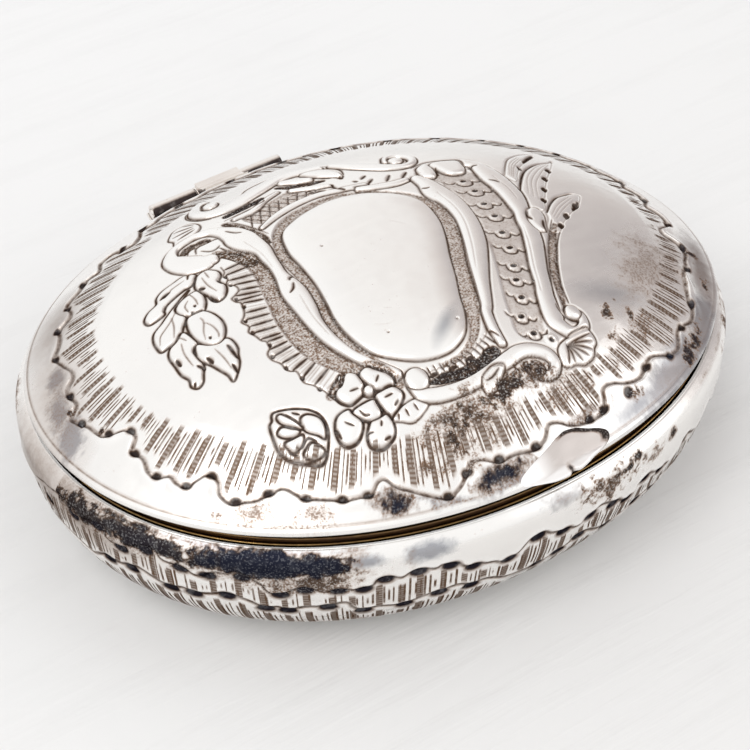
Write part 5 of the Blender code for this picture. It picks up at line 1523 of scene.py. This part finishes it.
def gilt_material():
    """Worn gilding: dark gold, browner where it is rubbed through, with fine pits."""
    material, node, place, dress = new_material("worn_gilding")
    worn = node.spots(place, 140, 0.42, 0.62, 5)
    fine = node.spots(place, 1500, 0.4, 0.7, 4)
    gold = node.blend(worn, rgb(0.78, 0.50, 0.18), rgb(0.42, 0.25, 0.10))
    gold = node.blend(node.times(fine, 0.5), gold, rgb(0.12, 0.07, 0.035))
    # The stain mark darkens the gold: on the bezel it is painted shade by face, on the seam an even half.
    gold = node.blend(node.times(node.mark("stain"), 0.9), gold, rgb(0.085, 0.045, 0.027))
    dress(base_color=gold, roughness=node.plus(node.times(worn, 0.22), 0.26),
          normal=node.bump(fine, 0.00003, 0.5))
    return material


def dress_node(name, material):
    """Gives a solid of the frame a material, and leaves its shape as it is."""
    for slot in frame["nodes"][name].material_slots:
        slot.material = material


# Stage, light and camera

# The board's half size, its points each way, and its level
BOARD_HALF, BOARD_COUNT, BOARD_LEVEL = 900, 61, -0.02


def make_floor():
    """A pale board with faint painted marks, far wider than the view, with painted light: darker
    in front of the box and lighter behind it.
    """
    across = np.linspace(-BOARD_HALF, BOARD_HALF, BOARD_COUNT)
    x, y = np.meshgrid(across, across)
    mesh = bpy.data.meshes.new("floor")
    points = level_loop(x.ravel(), y.ravel(), BOARD_LEVEL) * MM
    mesh.from_pydata(points.tolist(), [], grid_faces(BOARD_COUNT, BOARD_COUNT).tolist())
    floor = add_object("floor", mesh)
    material, node, place, dress = new_material("pale_board", 0.0)
    marks = node.spots(place, 36, 0.5, 0.72, 5)
    brushed = node.spots(place, 22, 0.48, 0.66, 4, stretch=(1.0, 9.0, 1.0))
    faint = node.times(node.plus(marks, brushed), 0.5, True)
    # Painted light across the board: darker in front, lighter towards the back.
    far = node.spread(node("SeparateXYZ", {0: place}).outputs["Y"], -0.08, 0.12)
    board = node.blend(far, rgb(0.745, 0.74, 0.733), rgb(0.80, 0.80, 0.80))
    dress(base_color=node.blend(node.times(faint, 0.06), board, rgb(0.2, 0.2, 0.2)), roughness=0.75,
          normal=node.bump(brushed, 0.0003, 0.2))
    mesh.materials.append(material)


def aim(place, target, roll=0.0):
    """A turn that looks from a place to a target, level, then rolled."""
    back = (place - target) / np.linalg.norm(place - target)
    right = np.cross([0, 0, 1.0], back)
    right /= np.linalg.norm(right)
    up = np.cross(back, right)
    cos, sin = math.cos(roll), math.sin(roll)
    axes = np.stack([cos * right + sin * up, -sin * right + cos * up, back], 1)
    turn = np.eye(4)
    turn[:3, :3], turn[:3, 3] = axes, place
    return turn


def in_metres(turn):
    """A turn's matrix, with its place in metres."""
    turn[:3, 3] *= MM
    return Matrix(turn.tolist())


# The camera's angles in degrees and its target and distance in millimetres, as solved
CAMERA_AZIMUTH, CAMERA_ELEVATION, CAMERA_ROLL = -35.6, 38.13, -1.33
CAMERA_TARGET, CAMERA_DISTANCE = np.array([-1.34, -1.38, 11.5]), 270.0
CAMERA_LENS, CAMERA_SENSOR = 110.87, 36.0
LAMP_TARGET = np.array([0, 0, 15.0])


def make_camera():
    """The camera on its target, set back at its two angles and rolled."""
    azimuth, elevation = math.radians(CAMERA_AZIMUTH), math.radians(CAMERA_ELEVATION)
    back = np.array([math.sin(azimuth) * math.cos(elevation), -math.cos(azimuth) * math.cos(elevation),
                     math.sin(elevation)])
    turn = aim(CAMERA_TARGET + CAMERA_DISTANCE * back, CAMERA_TARGET, math.radians(CAMERA_ROLL))
    camera = add_object("camera", bpy.data.cameras.new("camera"))
    camera.data.lens, camera.data.sensor_width = CAMERA_LENS, CAMERA_SENSOR
    camera.data.clip_start, camera.data.clip_end = 0.01, 10.0
    camera.matrix_world = in_metres(turn)
    bpy.context.scene.camera = camera


def make_lamp(name, place, size, power):
    """A round lamp at a place, pointed at the box."""
    lamp = add_object(name, bpy.data.lights.new(name, "AREA"))
    lamp.data.shape, lamp.data.size, lamp.data.energy = "DISK", size, power
    lamp.matrix_world = in_metres(aim(np.array(place), LAMP_TARGET))


def make_world():
    """Soft studio surroundings by direction: white walls and ceiling, a little duller low down, and
    a warm grey wall low on the right, by how nearly a direction points to its middle."""
    world = bpy.data.worlds.new("studio")
    bpy.context.scene.world = world
    world.use_nodes = True
    node = Tree(world.node_tree)
    way = node("TexCoord").outputs["Generated"]

    def ramp(value, low, high, levels):
        made = node("ValToRGB", {"Fac": node.spread(value, low, high)})
        while len(made.color_ramp.elements) < len(levels):
            made.color_ramp.elements.new(0.5)
        for stop, (place, colour) in zip(made.color_ramp.elements, levels):
            stop.position, stop.color = (place - low) / (high - low), rgb(*colour)
        return made.outputs[0]

    walls = ramp(node("SeparateXYZ", {0: way}).outputs["Z"], -0.4, 1.0, (
        (-0.4, (0.75,) * 3), (-0.02, (0.8,) * 3), (0.03, (0.9,) * 3), (0.12, (0.95,) * 3),
        (0.3, (1.0,) * 3), (0.75, (1.0,) * 3), (1.0, (1.0,) * 3)))
    toward = node("VectorMath", {0: way, 1: (0.896, 0.24, 0.374)}, operation="DOT_PRODUCT").outputs["Value"]
    warm = ramp(toward, 0.6, 1.0, (
        (0.6, (1.0, 1.0, 1.0)), (0.78, (0.98, 0.975, 0.97)), (0.87, (0.74, 0.69, 0.67)),
        (0.93, (0.61, 0.565, 0.555)), (1.0, (0.5, 0.465, 0.465))))
    background = node("Background", {"Color": node.blend(1.0, walls, warm, "MULTIPLY"), "Strength": 1.02})
    node("OutputWorld", {"Surface": background.outputs[0]})


# Putting it together

SILVER = silver_material("chased_silver", rgb(0.93, 0.91, 0.885), rgb(0.82, 0.80, 0.785),
                         rgb(0.96, 0.945, 0.925), rgb(0.165, 0.105, 0.07), rgb(0.04, 0.03, 0.027), 0.2)
INSIDE = silver_material("inner_silver", rgb(0.86, 0.83, 0.79), rgb(0.66, 0.62, 0.57),
                         rgb(0.88, 0.86, 0.83), rgb(0.24, 0.16, 0.10), rgb(0.10, 0.08, 0.07), 0.26, hair=0.02)
HINGE_SILVER = silver_material("solder_silver", rgb(0.88, 0.84, 0.80), rgb(0.70, 0.62, 0.57),
                               rgb(0.9, 0.87, 0.84), rgb(0.14, 0.10, 0.08), rgb(0.03, 0.026, 0.03), 0.30)
THUMB_SILVER = silver_material("rubbed_silver", rgb(0.6, 0.55, 0.525), rgb(0.5, 0.455, 0.43),
                               rgb(0.95, 0.93, 0.92), rgb(0.14, 0.10, 0.08), rgb(0.04, 0.032, 0.03), 0.36)
GILT = gilt_material()

lid_sheet = chase_lid()
wall_sheet = chase_wall()

for number, (first, last) in enumerate(FIELD_PARTS, 1):
    field_piece(f"lid_chased_{number}", lid_sheet, first, last, FIELD_SHARE, 0.0,
                (FIELD_ROWS, FIELD_COLUMNS), SILVER)
lid_ring("lid_flutes", lid_sheet, FIELD_SHARE, RING_SHARE, SILVER)
lid_ring("lid_border", lid_sheet, RING_SHARE, EDGE_START, SILVER)
field_piece("lid_lining", lid_sheet, 0, LINING_SIZE[1] - 1, LINING_SHARE, 1.0, LINING_SIZE, INSIDE)
upper_wall(wall_sheet, SILVER)
lower_wall(wall_sheet, SILVER)
base_inside(INSIDE)
make_bezel(GILT)
make_seam(GILT)
make_thumbpiece(THUMB_SILVER)
for node_name, body in (("base_knuckle_left", "box"), ("base_knuckle_right", "box"), ("lid_knuckle", "lid")):
    low, high = (corner[0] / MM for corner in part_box(node_name))
    # The last argument is the depth of the painted shade on the knuckle: deep on the base's, light on the
    # lid's.
    make_tube("tube_" + node_name, low, high, HINGE_SILVER, body, node_name, 0.85 if body == "box" else 0.3)
for node_name in ("base_hinge_bearer", "hinge_pin", "lid_hinge_bearer"):
    dress_node(node_name, HINGE_SILVER)

make_floor()
make_camera()
make_world()
make_lamp("key", (-420, -160, 620), 0.5, 1.6)
make_lamp("fill", (520, -420, 380), 0.6, 0.5)
bpy.context.scene.view_settings.view_transform = "Standard"
